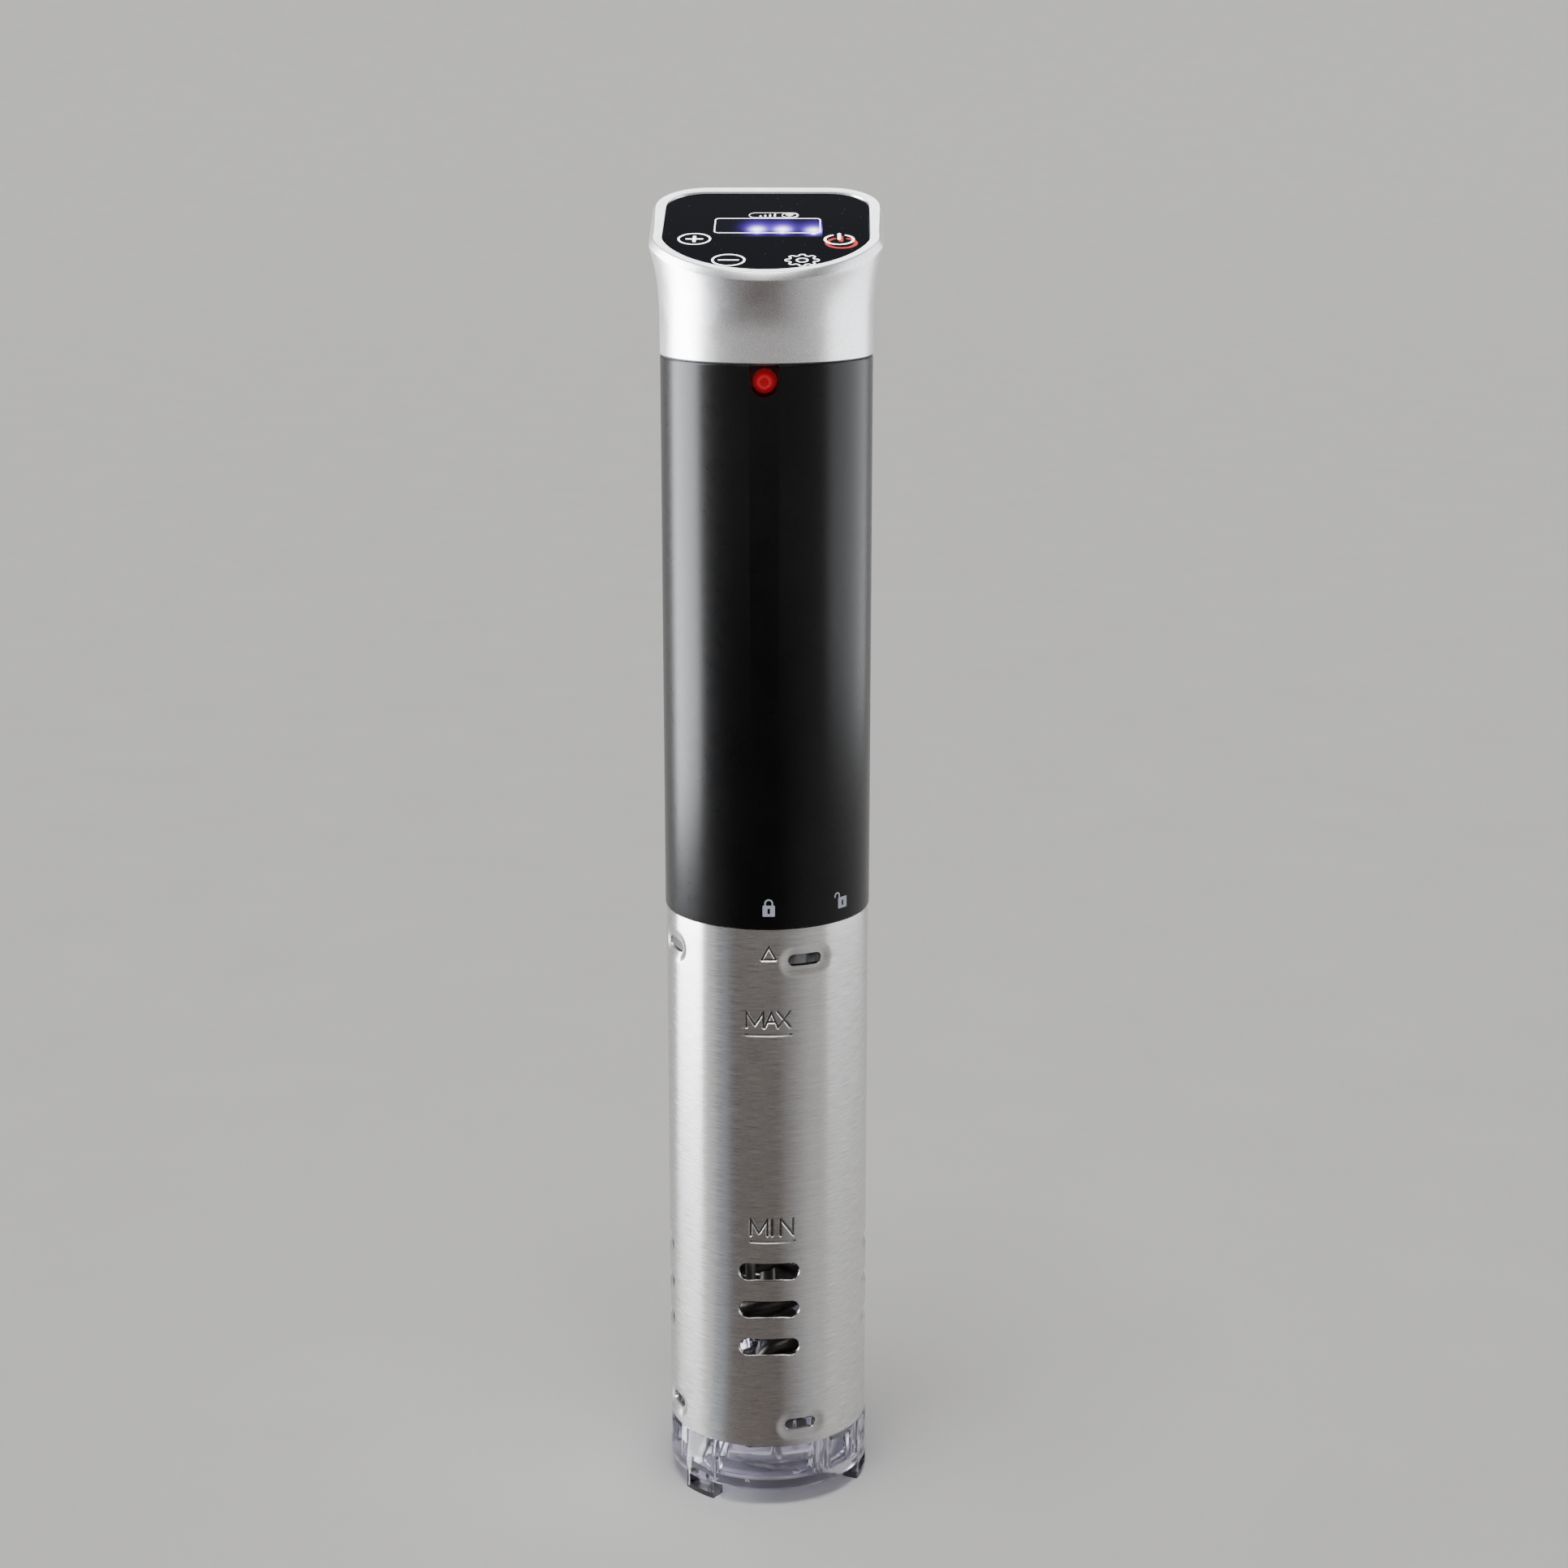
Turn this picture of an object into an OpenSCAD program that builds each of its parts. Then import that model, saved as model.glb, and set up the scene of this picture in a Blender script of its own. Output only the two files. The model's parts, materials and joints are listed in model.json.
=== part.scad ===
// Stick sous vide circulator: a slanted touch head on a black grip, over a steel sleeve with a clear foot.
// Angles round the tube are measured from the front (-Y) towards +X. Heights are over the feet.

/* [Grip] */
// Outer diameter of the black grip
grip_d = 60; // [58:1:62]
// Length of the grip
grip_h = 160; // [150:1:170]
// Wall of the grip
grip_wall = 2.4; // [2:0.1:3]

/* [Sleeve] */
// Outer diameter of the steel sleeve
sleeve_d = 59.4; // [58.8:0.1:59.6]
// Height of the sleeve's lower edge over the feet
sleeve_z = 20; // [20:0.5:22]
// Length of the sleeve
sleeve_h = 161; // [155:1:165]
// Sheet thickness of the sleeve
sleeve_wall = 0.8; // [0.6:0.1:1]
// Height of one water slot
slot_h = 5.1; // [4.6:0.1:6]
// Width of one water slot
slot_w = 18; // [14:0.5:20]
// Height of the lowest row of slots
slot_z = 51.5; // [50:0.5:54]
// Distance between rows of slots
slot_pitch = 12; // [10:0.5:13]
// Turn of the sleeve from locked to unlocked
sleeve_turn = 45; // [40:1:48]
// Angle of the lock mark, which the slots and lugs are in line with
lock_angle = 2; // [0:1:3]

/* [Head] */
// Half width of the head at its rim
head_half = 32.6; // [32:0.2:34]
// Distance of the head's back from the tube's axis
head_back = 33.6; // [32.6:0.2:34.6]
// Slant of the panel
panel_slope = 16.8; // [15:0.2:18]
// Height of the panel plane on the tube's axis
panel_z = 375.6; // [374:0.2:377]
// Wall of the head shell
head_wall = 2.5; // [2:0.1:3]
// Width of the silver rim round the glass
rim_w = 3.75; // [3:0.25:4.5]

/* [Foot] */
// Turn of the foot from locked to free
foot_turn = 30; // [25:1:32]
// Angle of the first leg
leg_angle = -43; // [-50:1:-35]
// Half width of a leg, as an angle
leg_half = 11; // [10:0.5:13]

/* [Heater] */
// Radius of the heater's winding
coil_r = 15; // [14:0.5:16]
// Diameter of the heater's tube
coil_tube_d = 6.4; // [5:0.2:7]
// Rise of one start of the winding in a full turn
coil_rise = 30; // [28:1:32]
// Height of the upper winding's low end
coil_z = 44.4; // [44:0.2:48]

/* [Drive] */
// Diameter of the drive shaft
shaft_d = 5; // [4:0.5:6]
// Diameter of the impeller
impeller_d = 40; // [34:1:44]
// Outer diameter of the motor
motor_d = 36; // [32:1:40]

/* [Clamp] */
// Width of the clamp lever
lever_w = 18; // [14:1:20]
// Distance of the lever's pivot behind the axis
pivot_y = 44; // [43:0.5:46]
// Height of the lever's pivot
pivot_z = 268; // [262:1:272]
// Diameter of the pivot pin
pin_d = 4; // [3:0.5:5]

/* [Hidden] */
$fn = 64;

gap = 0.3;                             // play between pieces of different bodies
run = 0.05;                            // radial play of a running fit
cut = 1;                               // overlap of a cutting tool
grip_r = grip_d / 2;
grip_in = grip_r - grip_wall;
grip_z = sleeve_z + sleeve_h;
grip_top = grip_z + grip_h;
sleeve_r = sleeve_d / 2;
sleeve_in = sleeve_r - sleeve_wall;
collar_r = sleeve_in - gap;
shaft_r = shaft_d / 2;

// Head
seam = 0.3;                            // seal between grip and head
head_z = grip_top + seam;
rim_drop = 1.8;                        // height of the rim's bevel at the front
rim_bevel = 1.2;                       // width of the rim's bevel at the front
back_bevel = 0.35;                     // share of the bevel that is left at the back
corner_r = 15;                         // back corners of the head
front_r = head_half + 1;               // front arc, with its centre 1 mm behind the axis
straight_part = 0.3;                   // lower share of the head that doesn't flare
glass_t = 2;
glass_recess = 0.5;
gasket_t = 0.8;
gasket_w = 3.2;
seat = glass_recess + glass_t + gasket_t;
ledge_inset = rim_w + 3.75;
board_drop = 10;                       // board's upper face below the panel plane
board_t = 1.6;
deck_drop = 16;                        // carrier deck below the panel plane
head_steps = 72;
key_spots = [[-19.8, -5.8], [-9.9, -21.3], [10.2, -21.4], [20.3, -6.1]];
spring_pull = 0.85;                    // springs sit nearer the middle than the printed keys
post_spots = [[-17, -13], [17, -13], [-17, 14], [17, 14]];
post_r = 2.3;
post_h = deck_drop - board_drop - board_t + 0.2;
display_spot = [0.3, 4.3];
head_screw_r = 24.2;
head_screw_angles = [60, 180, 300];
gland_z = 356;
gland_bore_r = 3.6;

// Status light
light_z = grip_top - 4.7;
light_w = 8;

// Bayonet, lugs and water slots
lug_in = sleeve_in - 1.5;
groove_in = lug_in - 0.4;
upper_lug = [11.5, 31.2, grip_z - 13.7, grip_z - 11.5];
lower_lug = [9.7, 28.2, sleeve_z + 7.4, sleeve_z + 9.6];
slit_h = 3.1;
quarters = [for (i = [0:3]) lock_angle + 90 * i];
collar_z = 151.5;
collar_top = 192;
plate_t = 1.5;
plate_z = collar_z - plate_t;
plate_screw_r = 22.4;
plate_screw_angles = [35, 155, 275];

// Heater path on the unrolled cylinder: a folded tube whose two starts rise side by side
coil_tube_r = coil_tube_d / 2;
rise_angle = atan(coil_rise / (2 * PI * coil_r));
fold_r = coil_rise / 4 * cos(rise_angle);
bend_r = 9;
upper_run = 0.95 * 2 * PI * coil_r / cos(rise_angle);
lower_run = 1.2 * 2 * PI * coil_r / cos(rise_angle);
coil_start = -345;
lead_top = plate_z + 8;
uphill = [cos(rise_angle), sin(rise_angle)];
side = [-sin(rise_angle), cos(rise_angle)];
upper_low = [0, coil_z];
fold_mid = upper_low - fold_r * side;
lower_low = upper_low - 2 * fold_r * side;
upper_high = upper_low + upper_run * uphill;
lower_high = lower_low + lower_run * uphill;
upper_bend = upper_high + bend_r * side;
lower_bend = lower_high + bend_r * side;
lead_angles = [for (p = [upper_bend, lower_bend]) turn_of(p[0] + bend_r)];
gland_r = 5.2;

// Probes: angle, radius, tip height and thickness
thermo = [-12, 22.4, 70, 1.5];
levels = [[185, 22, 84, 1.2], [207, 22, 84, 1.2]];

// Foot
ring_low = 5.35;
ring_high = 8.55;
wall_top = sleeve_z - gap;
foot_wall = 1.8;
leg_spots = [leg_angle, leg_angle + 120, leg_angle + 240];
roof_low = 18.2;
roof_eye = 9;
foot_collar_top = 34;
vane_slope = 9.5;

// Drive
motor_r = motor_d / 2;
motor_z = 200;
motor_top = 241;
mount_z = 192;
coupling = [179, 193];
tube_low = 92;
impeller_z = 10;

// Grip contents
frame_z = 242;
board_x = 23.4;
board_y = 3;
board_z = 250;
board_top = 332;
ribbon_t = 0.8;
ribbon_front = [[2.1, 325], [2.1, 333], [3.7, 345], [3.7, 364]];   // side view, as [y, height]

// Clamp
bracket_x = 13;
ear_w = bracket_x - lever_w / 2 - 0.4;
bracket_y = 34.6;
bracket_up = 36;
jaw_z = 214;
jaw_h = 18;
pad_t = 1.6;
arm_in = 45;
screw_z = [frame_z + 2.5, 279];

function lerp(a, b, t) = a + (b - a) * t;
function plane_z(y) = panel_z + tan(panel_slope) * y;
function turn_of(s) = coil_start + s / coil_r * 180 / PI;

// Distance from the axis to the head's outline, inset by d, at angle a from +X
function outline_r(a, d) =
    let (w = head_half - d, b = head_back - d, q = corner_r - d, c = [w - q, b - q])
    let (x = abs(cos(a)), y = sin(a))
    let (to_side = x < 0.01 ? 999 : w / x, to_back = y < 0.01 ? 999 : b / y)
    let (to_front = y + sqrt(pow(front_r - d, 2) - x * x), k = c * [x, y])
    y <= 0 ? min(to_side, to_front)
    : w * y > c[1] * x && b * x > c[0] * y ? k + sqrt(k * k - c * c + q * q)
    : min(to_side, to_back);

// Closed section of the head shell at angle a, as [radius, height]
function head_section(a) =
    let (o = outline_r(a, 0), g = outline_r(a, rim_w), l = outline_r(a, ledge_inset))
    let (share = lerp(1, back_bevel, max(0, sin(a))), crease = plane_z(o * sin(a)) - rim_drop * share)
    concat(
        [for (t = [0, 0.3, 0.5, 0.7, 0.85, 1]) [flare_r(o, t), lerp(head_z, crease, t)]],
        [rim_point(o - rim_bevel * share, a, 0), rim_point(g, a, 0), rim_point(g, a, seat),
         rim_point(l, a, seat), rim_point(l, a, seat + 2)],
        [for (t = [0.75, 0.55, 0.3, 0]) [flare_r(o, t) - head_wall, lerp(head_z, crease, t)]]);
function rim_point(r, a, drop) = [r, plane_z(r * sin(a)) - drop];
function flare_r(o, t) = lerp(grip_r, o, t < straight_part ? 0
    : pow((t - straight_part) / (1 - straight_part), 2));

// Points [along, height, heading] of the heater on the unrolled cylinder
function bend(c, from, to, r) =
    [for (i = [0:6]) let (a = lerp(from, to, i / 6))
        concat(c + r * [cos(a), sin(a)], a + sign(to - from) * 90)];
function straight(p, q, n, heading) = [for (i = [1:n - 1]) concat(lerp(p, q, i / n), heading)];
function heater_path() = let (b = rise_angle) concat(
    [for (z = [lead_top, 125, 100]) [upper_bend[0] + bend_r, z, 270]],
    bend(upper_bend, 0, b - 90, bend_r),
    straight(upper_high, upper_low, 16, 180 + b),
    bend(fold_mid, 90 + b, 270 + b, fold_r),
    straight(lower_low, lower_high, 20, b),
    bend(lower_bend, b - 90, 0, bend_r),
    [for (z = [100, 125, lead_top]) [lower_bend[0] + bend_r, z, 90]]);
// Ring of points round one heater point
function heater_ring(p, sides) =
    let (a = turn_of(p[0]), out = [sin(a), -cos(a), 0], round = [cos(a), sin(a), 0])
    let (ahead = cos(p[2]) * round + [0, 0, sin(p[2])], across = cross(ahead, out))
    [for (k = [0:sides - 1]) let (f = 360 * k / sides)
        coil_r * out + [0, 0, p[1]] + coil_tube_r * (cos(f) * out + sin(f) * across)];

module at_angle(a, r) { rotate([0, 0, a]) translate([0, -r, 0]) children(); }
module tube(ro, ri, z0, z1) {
    translate([0, 0, z0])
        difference() {
            cylinder(r = ro, h = z1 - z0);
            translate([0, 0, -cut]) cylinder(r = ri, h = z1 - z0 + 2 * cut);
        }
}
module sector(ro, ri, z0, z1, a0, a1) {
    rotate([0, 0, a0 - 90])
        rotate_extrude(angle = a1 - a0)
            translate([ri, z0]) square([ro - ri, z1 - z0]);
}
module screw(head_r, head_h, r, length) {
    translate([0, 0, -head_h]) cylinder(r = head_r, h = head_h);
    cylinder(r = r, h = length);
}
module along_y(y) { translate([0, y, 0]) rotate([-90, 0, 0]) children(); }

// Panel outline seen from above, inset by d
module panel_2d(d) {
    w = head_half - d;
    b = head_back - d;
    q = corner_r - d;
    intersection() {
        translate([0, 1]) circle(r = front_r - d, $fn = 96);
        translate([-w, -60]) square([2 * w, 60]);
    }
    translate([-w, -0.5]) square([2 * w, b - q + 0.5]);
    translate([q - w, 0]) square([2 * (w - q), b]);
    for (x = [-1, 1]) translate([x * (w - q), b - q]) circle(r = q);
}
// Space between two depths below the slanted panel plane
module slab(top, bottom) {
    translate([0, 0, panel_z])
        rotate([panel_slope, 0, 0])
            translate([-60, -60, -bottom * cos(panel_slope)])
                cube([120, 120, (bottom - top) * cos(panel_slope)]);
}
module panel_layer(d, top, bottom) {
    intersection() {
        translate([0, 0, grip_top - 20]) linear_extrude(80) panel_2d(d);
        slab(top, bottom);
    }
}
// Places children on the panel plane, square to it, at a spot seen from above
module on_panel(spot, drop) {
    translate([spot[0], spot[1], plane_z(spot[1])])
        rotate([panel_slope, 0, 0])
            translate([0, 0, -drop * cos(panel_slope)]) children();
}

// Cylinders standing at several angles round the axis: bosses or, as a cutting tool, their holes
module bosses(angles, spot_r, z, r, h) {
    for (a = angles) at_angle(a, spot_r) translate([0, 0, z]) cylinder(r = r, h = h);
}

// ---- Head ----
module head_shell() {
    sections = [for (i = [0:head_steps - 1]) head_section(360 * i / head_steps)];
    m = len(sections[0]);
    n = head_steps;
    points = [for (i = [0:n - 1]) for (p = sections[i])
        [p[0] * cos(360 * i / n), p[0] * sin(360 * i / n), p[1]]];
    faces = [for (i = [0:n - 1]) for (j = [0:m - 1]) for (half = [0, 1])
        let (i2 = (i + 1) % n, j2 = (j + 1) % m)
        half == 0 ? [i * m + j, i2 * m + j2, i2 * m + j] : [i * m + j, i * m + j2, i2 * m + j2]];
    color("silver")
        difference() {
            polyhedron(points, faces);
            translate([0, 0, gland_z]) along_y(grip_r - 8) cylinder(r = 6.05, h = 20);
        }
}
module panel_glass() {
    color([0.02, 0.02, 0.04]) panel_layer(rim_w + 0.15, glass_recess, glass_recess + glass_t);
}
module panel_gasket() {
    color("dimgray")
        difference() {
            panel_layer(rim_w + 0.4, glass_recess + glass_t, seat);
            panel_layer(rim_w + gasket_w, 0, seat + cut);
        }
}
module head_frame() {
    color("#303236") {
        difference() {
            union() {
                tube(26.9, 25.2, head_z, panel_z + 20);
                bosses(head_screw_angles, head_screw_r, head_z, 2.8, 9);
            }
            slab(-60, deck_drop);
            bosses(head_screw_angles, head_screw_r, head_z - cut, 1.25, 8);
            translate([0, 0, gland_z]) along_y(15) cylinder(r = 9, h = 20);
        }
        difference() {
            union() {
                intersection() {
                    cylinder(r = 26, h = 500);
                    slab(deck_drop, deck_drop + 2);
                }
                for (p = post_spots) on_panel(p, deck_drop + 1) cylinder(r = post_r, h = post_h);
            }
            translate([-9, -9, head_z]) cube([18, 18, 60]);
            for (p = post_spots) on_panel(p, deck_drop + 3) cylinder(r = 1, h = 16);
            translate([0, 0, gland_z]) along_y(15) cylinder(r = 9, h = 20);
        }
    }
}
module control_board() {
    color("seagreen")
        difference() {
            intersection() {
                panel_layer(ledge_inset + 1.2, board_drop, board_drop + board_t);
                translate([0, 0, grip_top]) cylinder(r = 30, h = 60);
            }
            for (p = post_spots) on_panel(p, board_drop + 4) cylinder(r = 1.15, h = 8);
        }
}
module display_module() {
    color([0.1, 0.1, 0.14])
        on_panel(display_spot, board_drop - 0.05) translate([-16.5, -6.5, 0]) cube([33, 13, 6.6]);
}
module touch_springs() {
    color("gold")
        for (p = key_spots)
            on_panel(spring_pull * p, board_drop - 0.05)
                difference() {
                    cylinder(r = 2.6, h = 6.9);
                    translate([0, 0, -cut]) cylinder(r = 2, h = 9);
                }
}
module board_screws() {
    color("lightgray")
        for (p = post_spots)
            on_panel(p, board_drop - 0.05) rotate([180, 0, 0]) screw(2, 1.3, 0.95, 5.5);
}
module head_seal() { color("black") tube(grip_r - 0.6, grip_in, grip_top, head_z); }
module head_screws() {
    color("lightgray")
        for (a = head_screw_angles)
            at_angle(a, head_screw_r) translate([0, 0, grip_top - 4]) screw(2.6, 2, 1.2, 10);
}
module cord_gland() {
    color("#1c1c1e")
        translate([0, 0, gland_z])
            difference() {
                union() {
                    along_y(24.5) cylinder(r = 6, h = 8);
                    difference() {
                        along_y(28) cylinder(r = 8, h = 6.5);
                        translate([0, 0, -12]) cylinder(r = grip_r + 0.35, h = 24, $fn = 96);
                    }
                }
                along_y(20) cylinder(r = gland_bore_r, h = 20);
            }
}
module gland_nut() {
    color("#2a2a2c")
        translate([0, 0, gland_z])
            difference() {
                along_y(24.6) cylinder(r = 7.6, h = 1.6, $fn = 6);
                along_y(20) cylinder(r = 6.02, h = 20);
            }
}

// ---- Grip ----
module light_2d(grow) {
    r = light_w / 2 + grow;
    circle(r = r);
    translate([-r, 0]) square([2 * r, grip_top - light_z + cut]);
}
module light_prism(depth, grow) {
    translate([0, -depth, light_z]) rotate([90, 0, 0]) linear_extrude(20) light_2d(grow);
}
module grip_housing() {
    color("#111113")
        difference() {
            union() {
                tube(grip_r, grip_in, grip_z, grip_top);
                tube(grip_in + 0.2, 20.5, grip_top - 4, grip_top - 1.6);
            }
            light_prism(15, 0.05);
            translate([-7, -28, grip_top - 12]) cube([14, 12, 13]);
            bosses(head_screw_angles, head_screw_r, grip_top - 6, 1.4, 8);
            for (z = screw_z) translate([0, 0, z]) along_y(20) cylinder(r = 1.65, h = 20);
        }
}
module status_window() {
    color([0.2, 0.08, 0.14, 0.6])
        intersection() {
            tube(grip_r - 0.05, grip_in + 0.9, light_z - 6, grip_top);
            light_prism(20, 0);
        }
}
module status_led() {
    color("red") translate([0, -23, light_z]) rotate([90, 0, 0]) cylinder(r = 3.1, h = 5.3);
}
module led_board() { color("seagreen") translate([-6, -23, light_z - 6]) cube([12, 1.4, 9.5]); }
module inner_frame() {
    color("#3a3d42")
        difference() {
            union() {
                tube(grip_in - 0.15, 12, frame_z, frame_z + 5);
                for (x = [-1, 1])
                    translate([x * 23.8 - 1.7, board_y - 2, frame_z + 4])
                        cube([3.4, 6, board_top - frame_z]);
            }
            translate([-board_x - 0.1, board_y - 0.1, board_z - 0.1])
                cube([2 * board_x + 0.2, board_t + 0.2, 100]);
            translate([0, 0, screw_z[0]]) along_y(10) cylinder(r = 1.5, h = 20);
        }
}
module power_board() {
    color("darkgreen")
        translate([-board_x, board_y, board_z]) cube([2 * board_x, board_t, board_top - board_z]);
}
module transformer() {
    color("goldenrod")
        translate([-17, board_y - 15, 304])
            difference() {
                cube([20, 15, 20]);
                for (y = [-cut, 11]) translate([3, y, 3]) cube([14, 5, 14]);
            }
}
module filter_capacitor() {
    color("royalblue") translate([12, board_y - 7, 300]) cylinder(r = 6.5, h = 25);
    color("silver") translate([12, board_y - 7, 298.6]) cylinder(r = 5.5, h = 1.4);
}
module relay() { color("dodgerblue") translate([-18, board_y - 15, 276]) cube([19, 15, 16]); }
module heat_sink() {
    color("silver") {
        translate([-15, 8.8, 256]) cube([30, 2.4, 34]);
        for (i = [0:5]) translate([-15 + i * 5.6, 11, 256]) cube([2, 7, 34]);
    }
}
module triac() {
    color("#202020") translate([-5, board_y + board_t + 0.2, 264]) cube([10, 4, 15]);
}
module ribbon_cable() {
    rear = [for (i = [len(ribbon_front) - 1:-1:0]) ribbon_front[i] + [ribbon_t, 0]];
    color("lightgray")
        translate([-6, 0, 0]) rotate([90, 0, 90]) linear_extrude(12) polygon(concat(ribbon_front, rear));
}

// ---- Motor and drive ----
module motor_can() {
    color("#9a9ca0")
        difference() {
            translate([0, 0, motor_z]) cylinder(r = motor_r, h = motor_top - motor_z);
            translate([0, 0, motor_z - cut]) cylinder(r = motor_r - 1.2, h = 36 + cut);
            translate([0, 0, motor_z]) cylinder(r = 8, h = 39.7);
        }
}
module motor_end_cap() {
    color("#7c7e83")
        difference() {
            translate([0, 0, mount_z + 4]) cylinder(r = motor_r, h = motor_z - mount_z - 4);
            translate([0, 0, mount_z + 4.6]) cylinder(r = 8, h = 10);
            translate([0, 0, mount_z]) cylinder(r = shaft_r + 0.6, h = 10);
            for (a = [45:90:315]) at_angle(a, 13) translate([0, 0, mount_z]) cylinder(r = 1.3, h = 7.2);
        }
}
module motor_bearings() {
    color("silver") {
        tube(7.95, shaft_r + run, mount_z + 4.7, motor_z - 0.1);
        tube(7.95, shaft_r + run, 236, 239.6);
    }
}
module stator() {
    color("#b87333")
        difference() {
            tube(motor_r - 1.25, 12.6, 204, 234);
            for (a = [0:60:300]) at_angle(a, 14.2) translate([0, 0, 200]) cylinder(r = 1.4, h = 40);
        }
}
module rotor() {
    color("dimgray") translate([0, 0, 206]) cylinder(r = 12, h = 26);
    color("lightgray") translate([0, 0, 187]) cylinder(r = shaft_r, h = 52);
}
module motor_mount() {
    color("#54575c")
        difference() {
            translate([0, 0, mount_z]) cylinder(r = grip_in - 0.15, h = 4);
            translate([0, 0, mount_z - cut]) cylinder(r = 9.2, h = 6);
            for (a = [45:90:315]) at_angle(a, 13) translate([0, 0, mount_z - cut]) cylinder(r = 1.7, h = 6);
            for (a = [0:90:270]) at_angle(a, 21) translate([0, 0, mount_z - cut]) cylinder(r = 3, h = 6);
        }
}
module motor_screws() {
    color("lightgray")
        for (a = [45:90:315]) at_angle(a, 13) translate([0, 0, mount_z]) screw(2.8, 2, 1.25, 7);
}
module shaft_coupling() { color("#4a6fa5") tube(7, shaft_r, coupling[0], coupling[1]); }
module drive_shaft() {
    color("lightgray")
        translate([0, 0, impeller_z - 2.2]) cylinder(r = shaft_r, h = 186 - impeller_z + 2.2);
}
module impeller() {
    color("#e8e8ea")
        difference() {
            union() {
                translate([0, 0, impeller_z]) cylinder(r = 6, h = 7.6);
                translate([0, 0, impeller_z]) cylinder(r = impeller_d / 2, h = 1.4);
                for (k = [0:5])
                    rotate([0, 0, 60 * k])
                        intersection() {
                            translate([12, 0, impeller_z + 1]) tube(10.6, 9.2, 0, 6.4);
                            translate([0, 0, impeller_z + 1]) cylinder(r = impeller_d / 2 - 0.5, h = 6.4);
                            translate([2, 0, impeller_z]) cube([20, 20, 10]);
                        }
            }
            translate([0, 0, impeller_z - cut]) cylinder(r = shaft_r, h = 20);
        }
}
module impeller_nut() {
    color("gold")
        difference() {
            translate([0, 0, impeller_z - 2.2]) cylinder(r = 4.6, h = 2.2, $fn = 6);
            translate([0, 0, impeller_z - 4]) cylinder(r = shaft_r, h = 6);
        }
}

// ---- Bayonet, seals, heater and probes ----
module bayonet_collar() {
    color("#222326")
        difference() {
            union() {
                tube(collar_r, 25.6, collar_z, grip_z);
                tube(grip_in - 0.1, 24.4, grip_z - 0.5, collar_top);
                bosses(plate_screw_angles, plate_screw_r, collar_z, 3.4, 16);
            }
            for (q = quarters) {
                sector(sleeve_r, groove_in, upper_lug[2] - 0.4, upper_lug[3] + 0.4,
                       q + upper_lug[0] - 1.5, q + upper_lug[1] + sleeve_turn + 1.5);
                sector(sleeve_r, groove_in, collar_z - cut, upper_lug[2] + 1,
                       q + upper_lug[0] + sleeve_turn - 1.5, q + upper_lug[1] + sleeve_turn + 1);
            }
            tube(grip_r, grip_in - 2, 185, 187);
            bosses(plate_screw_angles, plate_screw_r, collar_z - cut, 1.3, 14);
        }
}
module collar_seal() { color("black") rotate_extrude() translate([grip_in - 1, 186]) circle(r = 0.95); }
module seal_plate() {
    color("lightsteelblue")
        difference() {
            translate([0, 0, plate_z]) cylinder(r = 26.8, h = plate_t);
            translate([0, 0, plate_z - cut]) cylinder(r = 6, h = 5);
            bosses(lead_angles, coil_r, plate_z - cut, 4, 5);
            for (p = concat([thermo], levels)) bosses([p[0]], p[1], plate_z - cut, p[3] + 0.1, 5);
            bosses(plate_screw_angles, plate_screw_r, plate_z - cut, 1.6, 5);
        }
}
module seal_screws() {
    color("silver")
        for (a = plate_screw_angles)
            at_angle(a, plate_screw_r) translate([0, 0, plate_z]) screw(2.8, 2, 1.25, 11);
}
module shaft_seal() { color("#151515") tube(5.95, shaft_r + run, plate_z - 2.5, plate_z + 4); }
module shaft_tube() {
    color("silver") {
        tube(4.6, 3.8, tube_low, plate_z - 2.6);
        tube(7, 4.5, plate_z - 5.5, plate_z - 4.1);
    }
}
module guide_bush() { color("#d8c8a0") tube(3.75, shaft_r + run, tube_low, tube_low + 8); }
module heater_coil() {
    path = heater_path();
    sides = 8;
    n = len(path);
    points = [for (p = path) for (v = heater_ring(p, sides)) v];
    walls = [for (i = [0:n - 2]) for (k = [0:sides - 1]) for (half = [0, 1])
        let (k2 = (k + 1) % sides)
        half == 0 ? [i * sides + k, (i + 1) * sides + k, (i + 1) * sides + k2]
        : [i * sides + k, (i + 1) * sides + k2, i * sides + k2]];
    ends = [[for (k = [0:sides - 1]) k], [for (k = [sides - 1:-1:0]) (n - 1) * sides + k]];
    color("#6b6862") polyhedron(points, concat(walls, ends));
}
module heater_glands() {
    color("gold")
        for (a = lead_angles)
            at_angle(a, coil_r) {
                tube(gland_r, coil_tube_r + 0.05, plate_z - 4, plate_z);
                tube(gland_r, coil_tube_r + 0.05, collar_z, collar_z + 3);
            }
}
module probe(p, top) {
    at_angle(p[0], p[1]) translate([0, 0, p[2]]) {
        cylinder(r = p[3], h = top - p[2]);
        sphere(r = p[3]);
    }
}
module temperature_probe() { color("silver") probe(thermo, collar_z + 10); }
module level_probes() { color("silver") for (p = levels) probe(p, collar_z + 8); }

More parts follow.
